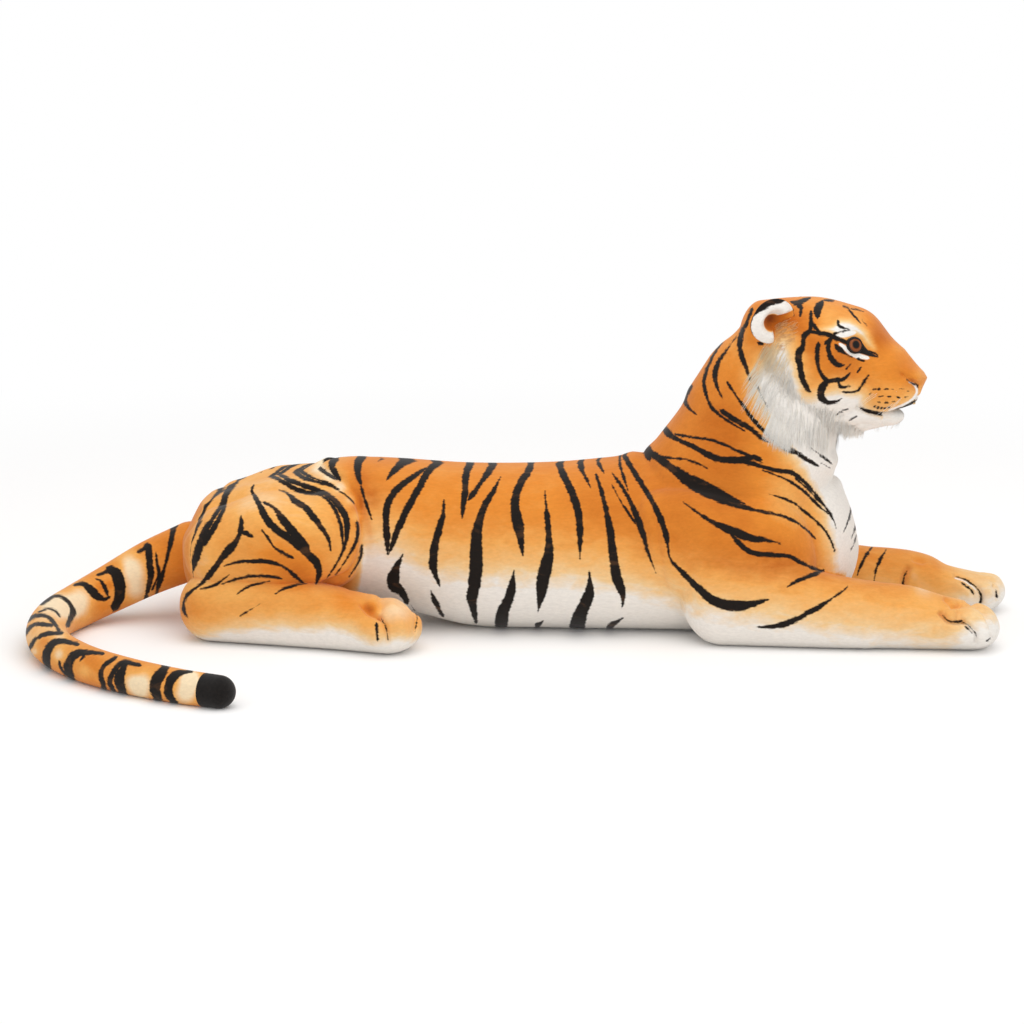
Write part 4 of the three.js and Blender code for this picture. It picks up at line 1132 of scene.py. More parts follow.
@dataclass(frozen=True)
class EyeFinish:
    """Moulded clear acrylic over a painted iris: glossy amber, brown at its rim, round a black pupil."""

    name: str
    radius: float
    iris: float
    pupil: float

    def make(self) -> Material:
        """Builds the material: painted rings by the distance from the pupil's middle, a little wavy."""
        material, tree = new_material(self.name)
        wave = maths(tree, "MULTIPLY_ADD", noise(tree, 900.0, 2.0), 0.0012, -0.0006)
        share = maths(tree, "DIVIDE", maths(tree, "ADD", attribute(tree, "from_pupil"), wave), self.radius)
        pupil, iris = self.pupil / self.radius, self.iris / self.radius
        rings = ramp(tree, share, (
            (0, "#050404"), (pupil, "#0A0706"), (pupil + .06, "#4E260C"), (pupil + .2, "#8E4A18"),
            (iris - .12, "#7A3C12"), (iris, "#1E1008"), (1, "#0B0807"),
        ))
        return finished(material, node(tree, "BsdfPrincipled", {
            "Base Color": rings, "Roughness": 0.4, "IOR": 1.45, "Coat Weight": 0.4, "Coat Roughness": 0.05,
            "Specular IOR Level": 0.1,
        }))


@dataclass(frozen=True)
class HairFinish:
    """Combed acrylic long pile: pale, slightly glossy fibres that shade one another only a little."""

    name: str = "combed_acrylic_long_pile"
    white: str = "#FBF7F0"
    gold: str = "#FBE0B4"
    brown: str = "#DE8A38"
    through: float = 0.12
    passed: float = 0.92

    def make(self) -> Material:
        """Builds the material: white to gold to brown with each hair's warmth, and a little translucent."""
        material, tree = new_material(self.name)
        third = maths(tree, "MULTIPLY", attribute(tree, "warmth"), 1 / 3, clamp=True)
        ramp_colour = ramp(tree, third, ((0, self.white), (1 / 3, self.gold), (1, self.brown)))
        lift = remap(tree, noise(tree, 300.0, 2.0), (0, 1), (0.93, 1.03))
        tint = node(tree, "VectorMath", {0: ramp_colour, "Scale": lift}, operation="SCALE")
        surface = node(tree, "BsdfPrincipled", {
            "Base Color": tint, "Roughness": 0.7, "Specular IOR Level": 0.2, "Sheen Weight": 0.1,
        })
        lit_through = node(tree, "BsdfTranslucent", {"Color": tint})
        both = node(tree, "MixShader", {0: self.through, 1: surface, 2: lit_through})
        # Fine fibres stop only part of the light
        passed = maths(tree, "MULTIPLY", node(tree, "LightPath").outputs["Is Shadow Ray"], self.passed)
        clear = node(tree, "BsdfTransparent")
        return finished(material, node(tree, "MixShader", {0: passed, 1: both, 2: clear}))


@dataclass(frozen=True)
class PaperFinish:
    """White backdrop paper: matt near the toy, where it takes the shadow, and plain white further out."""

    name: str = "backdrop_paper"
    shade: str = "#FBFAF9"
    near: float = 0.8
    far: float = 2.2

    def make(self) -> Material:
        """Builds the material: matt paper, and far from the toy a white glow that only the camera sees."""
        material, tree = new_material(self.name)
        away = node(tree, "VectorMath", {0: node(tree, "TexCoord").outputs["Object"]}, operation="LENGTH")
        share = remap(tree, away.outputs["Value"], (self.near, self.far), kind="SMOOTHSTEP")
        grain = noise(tree, 400.0, 2.0)
        bump = node(tree, "Bump", {"Strength": 0.05, "Distance": 0.3 * MM, "Height": grain})
        matt = node(tree, "BsdfDiffuse", {"Color": colour(self.shade), "Roughness": 0.5, "Normal": bump})
        white = node(tree, "Emission", {"Color": (1, 1, 1, 1), "Strength": 1.0})
        seen = maths(tree, "MULTIPLY", share, node(tree, "LightPath").outputs["Is Camera Ray"])
        return finished(material, node(tree, "MixShader", {0: seen, 1: matt, 2: white}))


def body_point(along: float, across: float, rise: float, side: int = 1) -> Triple:
    """A place on the body, as shares of the torso's length, width and height."""
    return RUMP_X + along * TORSO[0], side * across * TORSO[1], rise * TORSO[2] - FLOOR_CUT


def press(skin: Skin, pixels: Array, creases: tuple) -> None:
    """Presses lines into a skin, or raises them: rise * exp(-(distance / spread)^2) along the normal.

    Args:
        skin: the skin, with its normals found.
        pixels: each point's place in the photograph.
        creases: rows of a line in pixels, its spread in pixels and its rise in millimetres.
    """
    for line, spread, rise_mm in creases:
        path = Strokes.fine(np.array(table(line)))
        low, high = path.min(axis=0) - 3 * spread, path.max(axis=0) + 3 * spread
        near = np.flatnonzero(((pixels > low) & (pixels < high)).all(axis=1))
        apart = beside(pixels[near], path[:-1], np.diff(path, axis=0))[2].min(axis=1)
        skin.points[near] += skin.normals[near] * (rise_mm * MM * np.exp(-(apart / spread) ** 2))[:, None]


def toes(skin: Skin, tip: Triple, half_width: float, depth: float = 4 * MM) -> None:
    """Presses three grooves between four toes into the front of a paw.

    A point at the share l of the half width across and a length r behind the tip moves in by
    depth * sum exp(-((l - l0) / 0.11)^2) * smoothstep((0.05 - r) / 0.04), l0 being -0.52, 0 and 0.52.

    Args:
        skin: the paw's skin, with its normals found.
        tip: the paw's foremost point.
        half_width: half the paw's width.
        depth: the grooves' depth.
    """
    away = skin.points - np.array(tip)
    behind, share = -away[:, 0], away[:, 1] / half_width
    inside = (np.abs(share) < 1.3) & (behind < 0.07) & (behind > -0.02) & (skin.points[:, 2] < 0.12)
    groove = sum(np.exp(-((share - middle) / 0.11) ** 2) for middle in (-0.52, 0.0, 0.52))
    amount = np.where(inside, groove * smoothstep((0.05 - behind) / 0.04), 0) * depth
    skin.points -= skin.normals * amount[:, None]


# Folds and swellings: a line in the photograph, its spread in pixels and millimetres outwards
BODY_CREASES = (
    ("645,450 662,435 682,410 702,381 716,360", 14, 4), ("632,457 644,450", 11, 6),
    ("694,390 704,374 722,346", 13, 6.5), ("831,461 835,471 839,480", 7, 8), ("857,515 860,532", 10, -3),
    ("829,470 834,490", 13, 5), ("851,492 854,500", 6, -2),
    ("205,503 225,492 250,487 280,484 310,488 330,498", 8, 5),
    ("180,520 200,496 220,487 240,477 260,470 280,464 300,463", 13, -9),
    ("637,465 646,492 656,530 661,565 666,600", 3, -2.2), ("722,566 740,574 764,572 790,568", 7, -4),
    ("650,440 640,470", 8, -1.5), ("325,586 346,576 359,561 365,541 363,520 355,497 334,473 314,462", 4, -9),
    ("322,474 336,486 348,504 355,524 354,545 344,565", 9, 4.5), ("368,470 372,500 380,530", 6, -2),
    ("745,556 760,560 776,556", 5, -2),
)
HEAD_CREASES = (
    ("834,330 846,325 858,327 868,334", 6, 3.5), ("872,348 882,358", 6, -3), ("848,356 862,362", 5, -1),
    ("826,368 838,378", 15, 3), ("882,401 892,400 905,399", 10, 6.5), ("908,370 918,375", 5, 2.5),
    ("858,408 866,411 876,413.5 890,413 901,409 909,405 917,398", 2.2, -5),
    ("902,374 907,377 912,381 918,385", 2, -3.5), ("868,384 866,396", 5, -2.5),
    ("842,396 836,402 838,408", 4, -1.5),
)
PAW_CREASES = (
    ("972,614 982,624 984,632", 8, 6), ("950,612 955,611", 5, 3.5), ("950,628 962,634", 8, 4),
    ("941,613 946,619 951,622 957,622.5 963,621", 2.4, -9), ("959,612 958,620", 3, -5),
    ("963,622 968,625 973,630 976,636 975,643", 1.9, -5.5), ("946,599 953,605 960,604", 2.2, -5),
    ("952,607.5 962,606 968,604", 1.8, -3), ("968,600 977,606 984,612 989,621 992,628 992,637", 1.9, -6),
    ("920,600 932,606", 6, -1.5),
)
FAR_PAW_CREASES = (
    ("950,560 968,565 984,572", 13, -8), ("908,569 904,577 903,586", 3, -8), ("915,560 922,562.5", 3, -5),
    ("914,572 926,572 940,576", 9, 5), ("956,576 964,579 971,583.5 977,588 981,595 981,602", 2, -7),
    ("961,583 967,587 973,594", 2.2, -4), ("958,584 968,592", 6, 3), ("984,584 988,592", 6, 4),
    ("994,586 997,598", 2, -5),
)
FOOT_CREASES = (
    ("363,604 369,612 378,616", 3, -9), ("380,600 381,610", 3, -4), ("373,600 376,602", 5, 3),
    ("379,616 383,622 386,630 388,641", 2.2, -6.5), ("404,600 411,606 417,616 415,632", 2, -5),
    ("392,606 398,618 402,630", 8, 6), ("364,626 372,634", 8, 4), ("350,592 360,600", 5, -2),
    ("222,574 250,569 275,574", 4, 2.5), ("338,600 350,606", 8, -1.5),
)


@dataclass
class StuffedBody:
    """The torso, haunches, forelegs, neck and head as one sewn skin, split where the joints bend it."""

    voxel: float = 3.2 * MM
    seam_point: Triple = (.49, 0, .2)
    seam_facing: Triple = (.296, 0, .955)
    nape_point: Triple = (.454, 0, .249)
    nape_facing: Triple = (.666, 0, .746)
    wrist_x: float = .4975
    wrist_height: float = .0465
    wrist_across: float = .113160
    haunch_size: Triple = (.133, .152, .152)
    shoulder_size: Triple = (.130, .132, .190)
    upper_size: Triple = (.200, .104, .160)
    far_paw_reach: float = 0.03
    arm_size: Triple = (.150, .047, .047)
    paw_dome: float = .036
    # The nose's slope, front and underside in the head's own frame: a point, a facing and the bend across
    nose_cuts: tuple = (
        ((.1340, 0, .0143), (.757, 0, .654), .055), ((.1612, 0, -.018), (.923, 0, -.384), .045),
        ((.1475, 0, -.0545), (.15, 0, -.989), .10),
    )

    def arm_length(self, side: Side) -> float:
        """A forearm's length: the far paw, on the left, reaches further."""
        return self.arm_size[0] + (self.far_paw_reach if side is Side.LEFT else 0)

    def forms(self) -> list[Form]:
        """The forms that the skin goes round, at the sizes of the frame's solids."""
        forms = [
            Form(body_point(0, 0, 0), TORSO, TORSO_ROWS, (.050, .105)),
            Form((0, 0, 0), NECK, NECK_ROWS, (.060, .060), placement=NECK_PLACE),
            Form((0, 0, 0), HEAD, HEAD_ROWS, (.030, .027), placement=HEAD_PLACE),
            Form((.010, 0, -.068), (.085, .110, .060), JAW_ROWS, (.030, .018), placement=HEAD_PLACE),
        ]
        for side in Side:
            s = side.value
            x, y, _ = body_point(1.135, .41, 0, s)
            arm = (self.arm_length(side), *self.arm_size[1:])
            upper = (.300, s * .38 * TORSO[1], -FLOOR_CUT)
            forms += [
                Form(body_point(.117, .362, .562, s), self.haunch_size, HAUNCH_ROWS, (.064, .064), s),
                Form(body_point(.89, .32, .562, s), self.shoulder_size, SHOULDER_ROWS, (.060, .060), s),
                Form(upper, self.upper_size, UPPER_ROWS, (.060, .060), s),
                Form((x, y, self.wrist_height), arm, FOREARM_ROWS, (arm[1], self.paw_dome), s, square=2.0),
            ]
        return forms

    def shape(self) -> Skin:
        """The one skin, smoothed where forms meet, flattened on the floor and sculpted."""
        skin = Skin.joined([form.mesh() for form in self.forms()]).remeshed(self.voxel)
        LOG.info("body skin: %d points", len(skin.points))
        skin.relax(18)
        skin.find_normals()
        # The nape and the haunch's top fill out, the rump sinks, and folds and seams go in
        press(skin, self.pixels(skin.points), BODY_CREASES)
        skin.settle(2)
        return skin

    def pixels(self, points: Array) -> Array:
        """Each point's place in the photograph, far points taken at their mirror image on the near side.

        The body mirrors about its own middle plane and the head about its turned one; over the neck the
        two places are mixed in step with the distance past the seam.
        """
        body = PHOTO.pixels(BODY_PLACE.near_side(points))
        head = PHOTO.pixels(HEAD_PLACE.near_side(points))
        past_seam, past_nape = self.past_seam(points), self.past_nape(points)
        share = smoothstep(past_seam / np.maximum(past_seam - past_nape, 1e-6))
        share = np.where(past_seam <= 0, 0.0, np.where(past_nape >= 0, 1.0, share))[:, None]
        return body * (1 - share) + head * share

    def sculpt_head(self, head: Skin) -> None:
        """Planes the nose, swells the muzzle and brow, and presses in the mouth, nostrils and sockets."""
        for point, facing, bend in self.nose_cuts:
            local = HEAD_PLACE.read(head.points)
            excess = (local - np.array(point)) @ np.array(facing) + local[:, 1] ** 2 / (2 * bend)
            moved = np.clip(excess, 0, None) * smoothstep((local[:, 0] - .112) / .02)
            head.points -= moved[:, None] * (np.array(facing) @ HEAD_PLACE.axes)
        head.relax(3, smoothstep((self.past_nape(head.points) - .06) / .01))
        head.relax(24, smoothstep((HEAD_PLACE.read(head.points)[:, 0] - .138) / .015))
        head.find_normals()
        press(head, self.pixels(head.points), HEAD_CREASES)
        local = HEAD_PLACE.read(head.points)
        x, y, z = local.T
        # The cleft between nose and lip
        cleft = (x > .13) * smoothstep((z + .058) / .004) * smoothstep((-.022 - z) / .006)
        head.points -= head.normals * (3 * MM * cleft * np.exp(-(y / .0028) ** 2))[:, None]

    def past_seam(self, points: Array) -> Array:
        """How far points lie beyond the seam between torso and neck."""
        return (points - np.array(self.seam_point)) @ np.array(self.seam_facing)

    def past_nape(self, points: Array) -> Array:
        """How far points lie beyond the cut between neck and head."""
        return (points - np.array(self.nape_point)) @ np.array(self.nape_facing)

    def split(self, skin: Skin) -> dict[str, Skin]:
        """The skin's parts by the body that carries them; the face and the paws are finer and sculpted."""
        centres = skin.points[skin.faces].mean(axis=1)
        above = (self.past_seam(centres) > 0) & (centres[:, 0] > 0.1)
        forward = self.past_nape(centres) > 0
        arm = (centres[:, 0] > self.wrist_x) & (centres[:, 2] < 0.13) & (np.abs(centres[:, 1]) > 0.02)
        head = skin.part(above & forward, finer=True)
        parts = {"torso": skin.part(~above & ~arm), "neck": skin.part(above & ~forward), "head": head}
        inherited = head.normals
        self.sculpt_head(head)
        head.mix_normals(inherited, self.past_nape(head.points))
        for side, creases in ((Side.RIGHT, PAW_CREASES), (Side.LEFT, FAR_PAW_CREASES)):
            paw = skin.part(arm & (centres[:, 1] * side.value > 0), finer=True)
            inherited = paw.normals
            half = self.arm_size[1]
            across = side.value * (self.wrist_across - .04 * half)
            toes(paw, (.5 + self.arm_length(side) + self.paw_dome, across, .03), half)
            paw.find_normals()
            for crease in creases:
                press(paw, PHOTO.pixels(paw.points), (crease,))
            paw.rest()
            paw.mix_normals(inherited, paw.points[:, 0] - self.wrist_x)
            parts[f"{side.word}_forearm"] = paw
        return parts

    def bend(self, thing: Object, body: str) -> None:
        """Ties a piece on the torso to the frame; any other piece only has its transform baked into its
        points.
        """
        if body == "torso":
            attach(thing, "torso")
        elif body in ("neck", "head"):
            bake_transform(thing)
        else:
            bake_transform(thing)

    def build(self, cloth: Material) -> dict[str, Skin]:
        """Makes the five pieces, dresses them, ties the torso's piece to the frame and returns their skins.
        """
        parts = self.split(self.shape())
        limbs = [f"{side.word}_{limb}" for side in Side for limb in ("haunch", "upper_foreleg")]
        for body, part in parts.items():
            thing = part.to_object(f"{body}_plush")
            pixels = self.pixels(part.points)
            # The rump's back is out of the photograph's sight, and its print lies off the outline there
            rump = smoothstep((-part.normals[:, 0] - .72) / .16) * (part.points[:, 0] < -.3)
            pixels[:, 0] -= 70 * rump
            if body == "left_forearm":
                Print(FAR_STROKES).put_on(thing, PHOTO.pixels(part.points), fade=Print().fade(pixels))
            else:
                leg = pixels[:, 1] - np.interp(pixels[:, 0], *np.array(LEG_LINE).T)
                outer = smoothstep((np.abs(part.points[:, 1]) - .052) / .012) * (part.points[:, 0] > .35)
                chest = None if body == "right_forearm" else 1 - outer * smoothstep((leg + 2) / 4)
                # Between the forelegs the chest is white right down
                x, y, z = part.points.T
                bare = smoothstep((.064 - np.abs(y)) / .012) * smoothstep((.135 - z) / .03) * (x > .15)
                Print().put_on(thing, pixels, chest, bare=bare)
            names = [body, *limbs] if body == "torso" else [body]
            nodes = [f"{name}_{layer}" for name in names for layer in ("cover", "filling")]
            nodes += ["nose_patch"] if body == "head" else []
            dress(thing, cloth, "orange_plush", *nodes, fill=0.85)
            self.bend(thing, body)
        return parts


@dataclass
class HindFoot:
    """A hind foot with its shank under the haunch, splayed a little, its four toes in front."""

    side: Side
    size: Triple = (.250, .100, .102)
    domes: tuple[float, float] = (.050, .046)
    voxel: float = 2.3 * MM
    fade_band: float = 46.0

    def build(self, cloth: Material) -> None:
        """Makes the foot, dresses it and ties it to the frame."""
        place = body_point(.016, .427, 0, self.side.value)
        skin = Form(place, self.size, FOOT_ROWS, self.domes, self.side.value).skin(self.voxel, 4)
        press(skin, PHOTO.pixels(BODY_PLACE.near_side(skin.points)), FOOT_CREASES)
        skin.settle(1)
        name = f"{self.side.word}_foot"
        thing = skin.to_object(f"{name}_plush")
        pixels = PHOTO.pixels(BODY_PLACE.near_side(skin.points))
        Print(fade_line=FOOT_FADE_LINE, fade_band=self.fade_band).put_on(thing, pixels)
        dress(thing, cloth, "orange_plush", f"{name}_cover", f"{name}_filling", fill=0.85)
        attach(thing, name)


@dataclass
class Tail:
    """The tail: one tapering curl sewn in three lengths with a black cap, banded round."""

    rings: int = 300
    sides: int = 72
    # The section numbers at which the tail is cut
    breaks: tuple[float, ...] = (0, 3, 6, 9.6, 10)

    def rows(self) -> Array:
        """The sections in metres and radians; a section's middle is its radius above its underside."""
        t = np.array(TAIL_ROWS, float)
        radius = t[:, 5] * TAIL_RADIUS
        z = t[:, 2] * TORSO[2] - FLOOR_CUT + radius
        x, y = RUMP_X + t[:, 0] * TORSO[0], t[:, 1] * TORSO[1]
        pitch, yaw = np.radians(t[:, 3]), np.radians(t[:, 4])
        return np.stack([x, y, z, pitch, yaw, radius, radius, radius], axis=-1)

    def surface(self, places: Array) -> tuple[Array, Array]:
        """Rings of points: middle + radius * (across cos v + up sin v), and their outward directions."""
        s = along_rows(self.rows(), places)
        middle, _, up, across = Form.frames(s)
        v = np.linspace(0, 2 * math.pi, self.sides, endpoint=False)
        out = across[:, None] * np.cos(v)[:, None] + up[:, None] * np.sin(v)[:, None]
        return middle[:, None] + out * s[:, 5][:, None, None], out

    def build(self, cloth: Material, cap: Material) -> None:
        """Makes the four pieces, dresses them and ties the base and the tip to the frame."""
        names = ("tail_base", "tail_middle", "tail_end", "tail_tip")
        rows = self.rows()
        _, ahead, _, _ = Form.frames(rows)
        for i, name in enumerate(names):
            low, high = self.breaks[i], self.breaks[i + 1]
            count = max(int(self.rings * (high - low) / self.breaks[-1]), 8)
            places = np.linspace(low, high, count)
            rings, out = self.surface(places)
            if i == 0:
                rings, out = (a[::-1] for a in self.domed(rings[::-1], out[::-1], -ahead[0], rows[0][5]))
            if i == len(names) - 1:
                rings, out = self.domed(rings, out, ahead[-1], rows[-1][5])
            ends = np.stack([rings[0].mean(axis=0), rings[-1].mean(axis=0)])
            skin = Skin(np.concatenate([rings.reshape(-1, 3), ends]), tube_faces(len(rings), self.sides))
            skin.find_normals()
            skin.normals[:-2] = unit(out.reshape(-1, 3))
            skin.rest()
            self.dress(skin, name, cap if name == "tail_tip" else cloth)

    @staticmethod
    def domed(rings: Array, out: Array, ahead: Array, length: float) -> tuple[Array, Array]:
        """Adds a dome past the last ring: that ring moved out by length sin w and shrunk by cos w.

        Args:
            rings: the rings so far.
            out: their outward directions.
            ahead: the direction in which the dome points.
            length: the dome's height.

        Returns:
            The rings and directions with the dome's.
        """
        w = np.linspace(0, math.pi / 2, 13)[1:, None, None]
        centre = rings[-1].mean(axis=0)
        added = centre + (rings[-1] - centre) * np.maximum(np.cos(w), 0.02) + ahead * (length * np.sin(w))
        turned = out[-1] * np.cos(w) + ahead * np.sin(w)
        return np.concatenate([rings, added]), np.concatenate([out, turned])

    def dress(self, skin: Skin, name: str, material: Material) -> None:
        """Prints a length of the tail, its bands running on round its hidden side, and ties it to the frame
        if it is the base or the tip.
        """
        thing = skin.to_object(f"{name}_plush")
        pixels = PHOTO.pixels(skin.points)
        Print(TAIL_STROKES, TAIL_TONES).put_on(thing, pixels, fade=np.zeros(len(pixels)))
        slot = "black_plush" if name == "tail_tip" else "orange_plush"
        dress(thing, material, slot, f"{name}_cover", f"{name}_filling", fill=0.9)
        if name in ("tail_middle", "tail_end"):
            before, section = {"tail_middle": ("tail_base", 3), "tail_end": ("tail_middle", 6)}[name]
            row = self.rows()[section]
            _, ahead, _, _ = Form.frames(row[None])
            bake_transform(thing)
        else:
            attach(thing, "tail_end" if name == "tail_tip" else name)


@dataclass
class Ear:
    """A rounded ear, cupped forward: a thick white roll round the rim, orange inside darkened to brown
    towards the hollow's middle by painted shade, black behind.
    """

    side: Side
    radius: float = .0305
    rise: float = .022
    thickness: float = .0050
    cup: float = .010
    roll: float = .0085
    around: int = 120

    def build(self, cloth: Material) -> None:
        """Makes the ear, dresses it and ties it to the frame.

        At the share r of the radius and angle v the middle sheet lies cup * (r^2 - 0.55) forward, and the
        two faces stand off it by thickness * (1 - r^4)^0.5. The roll adds its own height times
        exp(-((r - 0.62 + 0.08 sin v) / 0.26)^2) in front, and fades 68 to 44 degrees from the hollow's
        direction, which is towards the nose and down. The lobe swells out by a sixth.
        """
        turn = np.linspace(0, math.pi, 81)[1:-1]
        v = np.linspace(0, 2 * math.pi, self.around, endpoint=False)
        share = np.sin(turn)[:, None] ** 0.8 * np.ones(self.around)
        front = (turn < math.pi / 2)[:, None]
        stand = self.thickness * np.sqrt(np.maximum(1 - share**4, 0))
        nose_side = np.cos(v if self.side is Side.RIGHT else math.pi - v)
        past_hollow = np.degrees(np.arccos(np.clip(nose_side * 0.799 - np.sin(v) * 0.602, -1, 1)))
        full = smoothstep((past_hollow - 44) / 24)
        roll = self.roll * full * np.exp(-((share - 0.62 + 0.08 * np.sin(v)) / 0.26) ** 2)
        hollow = 0.004 * np.exp(-(share / .45) ** 2)
        x = self.cup * (share**2 - 0.55) + np.where(front, stand + roll - hollow, -stand)
        lobe = 0.17 * smoothstep((-0.707 * (nose_side + np.sin(v)) - 0.3) / 0.7)
        reach = self.radius * share * (1 + 0.05 * np.cos(2 * v) + lobe)
        local = np.stack([x, reach * np.cos(v), self.rise + reach * np.sin(v)], axis=-1).reshape(-1, 3)
        ends = np.array([[x[0].mean(), 0, self.rise], [x[-1].mean(), 0, self.rise]])
        points = EAR_PLACES[self.side].place(np.concatenate([local, ends]))
        skin = Skin(points, tube_faces(len(turn), self.around))
        skin.face_out()
        name = f"{self.side.word}_ear"
        thing = skin.to_object(f"{name}_plush")
        inner_edge = 0.27 - 0.16 * np.sin(v)
        pale = np.where(front, smoothstep((share - inner_edge) / 0.14) * smoothstep((full - 0.1) / 0.4), 0.0)
        # The back is black, except for its lower third, and the black laps over the top of the rim
        lap = 0.26 * smoothstep((np.sin(v) - 0.2) / 0.6) * smoothstep((0.75 - nose_side) / 0.5)
        black = np.where(front, (share - 1 + lap - 0.01) * self.radius, (np.sin(v) + 0.5) * 0.03)
        # Painted shade: the front darkens to brown towards the middle of the hollow
        tone_and_painted_light = np.where(front, -3.0 + 3.4 * share, 0.1)
        # The two end points take the values of the rings round them
        whiteness, tone_and_painted_light = (np.concatenate([v.ravel(), [v[0, 0], v[-1, 0]]]) for v in (pale * 1.1, tone_and_painted_light))
        plain_print(thing, whiteness, tone_and_painted_light, np.concatenate([black.ravel(), [-.01, .003]]))
        dress(thing, cloth, "orange_plush", name, f"{name}_lining", fill=0.5)
        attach(thing, name)


@dataclass
class Eye:
    """A safety eye: a domed amber eye on a shank, held by a washer, under a black felt lid."""

    side: Side
    radius: float = .012
    dome: float = .0052
    iris: float = .0106
    pupil: float = .0046
    shift: float = -.0012
    glance: float = -.0006
    felt_mm: float = 1.0
    # The lid's outline, clockwise from the outer corner, in millimetres towards the nose and up
    outline_mm: tuple = table(
        "-12.6,1 -11.2,5.6 -6.5,9 0,10.6 6.5,10.2 12,7 18,2.2 26,-2.2 37,-6.6 "
        "26,-8.2 18,-7.8 12,-8.2 7,-10 0,-11.2 -6.5,-9.8 -11,-5.4")
    # The opening's half width, its height above the middle and its depth below
    opening_mm: tuple = (10.6, 8.0, 10.4)

    @property
    def place(self) -> Placement:
        """The eye's frame; the left one is the right one mirrored in the head's middle plane."""
        axes = EYE_PLACE.axes
        origin = np.array(EYE_PLACE.origin) + self.shift * axes[0]
        if self.side is Side.RIGHT:
            return Placement(tuple(origin), EYE_PLACE.x, EYE_PLACE.y)
        flip = np.array([1, -1, 1])
        head = HEAD_PLACE.axes
        mirrored = [tuple((v @ head.T * flip) @ head) for v in (axes[0], axes[1])]
        local = HEAD_PLACE.read(origin[None])[0] * flip
        # Swapping the two axes would turn the frame round, so z points inwards here and heights change sign
        return Placement(tuple(HEAD_PLACE.place(local[None])[0]), mirrored[0], mirrored[1])

    def set_in(self, local: Array) -> Array:
        """Points given as towards the nose, up and outwards, in the object's frame."""
        return self.place.place(local * (1, 1, -self.side.value))

    def build(self, felt: Material, face: Skin) -> None:
        """Makes the eye with its shank and washer, and the felt lid laid over it."""
        rim = np.linspace(0, math.pi / 2, 20)
        r = np.concatenate([self.radius * np.sin(rim)[1:], [.0116, .0025, .0025, .009, .009, .0025, .0025]])
        shank = [-.002, -.0035, -.0083, -.0083, -.0103, -.0103, -.016]
        z = np.concatenate([self.dome * np.cos(rim)[1:], shank])
        around = 64
        v = np.linspace(0, 2 * math.pi, around, endpoint=False)
        r, z = r[:, None], z[:, None]
        rings = np.stack([r * np.cos(v), r * np.sin(v), z * np.ones(around)], axis=-1)
        local = np.concatenate([rings.reshape(-1, 3), [[0, 0, self.dome], [0, 0, -.016]]])
        skin = Skin(self.set_in(local), tube_faces(len(r), around))
        skin.face_out()
        eye = f"{self.side.word}_eye"
        ball = skin.to_object(f"{eye}_acrylic", keep_normals=False)
        write_attribute(ball, "from_pupil", np.hypot(local[:, 0] - self.glance, local[:, 1]))
        name = f"moulded_acrylic_eye_{self.side.word}"
        acrylic = EyeFinish(name, self.radius, self.iris, self.pupil).make()
        lid = self.lid(face).to_object(f"{eye}lid_felt")
        dress(ball, acrylic, "eye_plastic", eye, f"{eye}_washer")
        dress(lid, felt, "black_felt", f"{eye}lid")
        for thing in (ball, lid):
            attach(thing, "head")

    def lid(self, face: Skin, around: int = 120, steps: int = 14) -> Skin:
        """The lid: a sheet from the opening to the outline, laid on the ball or the face, the higher one."""
        corners = np.array(self.outline_mm + self.outline_mm[:1], float)
        outer = along_rows(corners, np.linspace(0, len(corners) - 1, around, endpoint=False)) * MM
        angle = np.arctan2(outer[:, 1], outer[:, 0])
        height = np.where(np.sin(angle) > 0, self.opening_mm[1], self.opening_mm[2])
        inner = np.stack([self.opening_mm[0] * np.cos(angle), height * np.sin(angle)], axis=-1) * MM
        t = np.linspace(0, 1, steps)[:, None, None]
        flat = inner + (outer - inner) * t
        tree = BVHTree.FromPolygons(face.points.tolist(), face.faces.tolist())
        down = self.set_in(np.array([[0, 0, -1.0]]))[0] - self.set_in(np.zeros((1, 3)))[0]
        height = np.full(flat.shape[:2], -.02)
        for i, j in np.ndindex(height.shape):
            above = self.set_in(np.array([[*flat[i, j], .04]]))[0]
            hit = tree.ray_cast(Vector(above), Vector(down), .08)
            if hit[0] is not None:
                height[i, j] = .04 - hit[3]
        reach = np.linalg.norm(flat, axis=-1) / self.radius
        ball = np.where(reach < 1, self.dome * np.sqrt(np.maximum(1 - reach**2, 0)), -.02)
        base = np.maximum(height, ball)
        thick = self.felt_mm * MM * (0.25 + np.sin(math.pi * np.clip(t[..., 0], 0.08, 0.9)) ** 0.5)
        top = np.concatenate([flat, (base + thick)[..., None]], axis=-1)
        low = np.concatenate([flat, (base - 0.6 * MM)[..., None]], axis=-1)
        rings = np.concatenate([top, low[::-1]])
        # The last ring joins the first, so the sheet closes round its edges
        total = len(rings) * around
        faces = tube_faces(len(rings) + 1, around)[:total] % total
        skin = Skin(self.set_in(rings.reshape(-1, 3)), faces)
        skin.face_out()
        return skin


@dataclass
class Chin:
    """The white lower lip under the muzzle."""

    start: Triple = (.078, 0, -.0790)
    size: Triple = (.030, .062, .031)

    def build(self, cloth: Material) -> Skin:
        """Makes the chin, dresses it and ties it to the head."""
        form = Form(self.start, self.size, CHIN_ROWS, (.026, .024), placement=HEAD_PLACE)
        skin = form.skin(2.2 * MM, 3)
        thing = skin.to_object("chin_plush")
        plain_print(thing, np.full(len(skin.points), 1.1), np.zeros(len(skin.points)))
        dress(thing, cloth, "white_plush", "chin", fill=0.7)
        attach(thing, "head")
        return skin


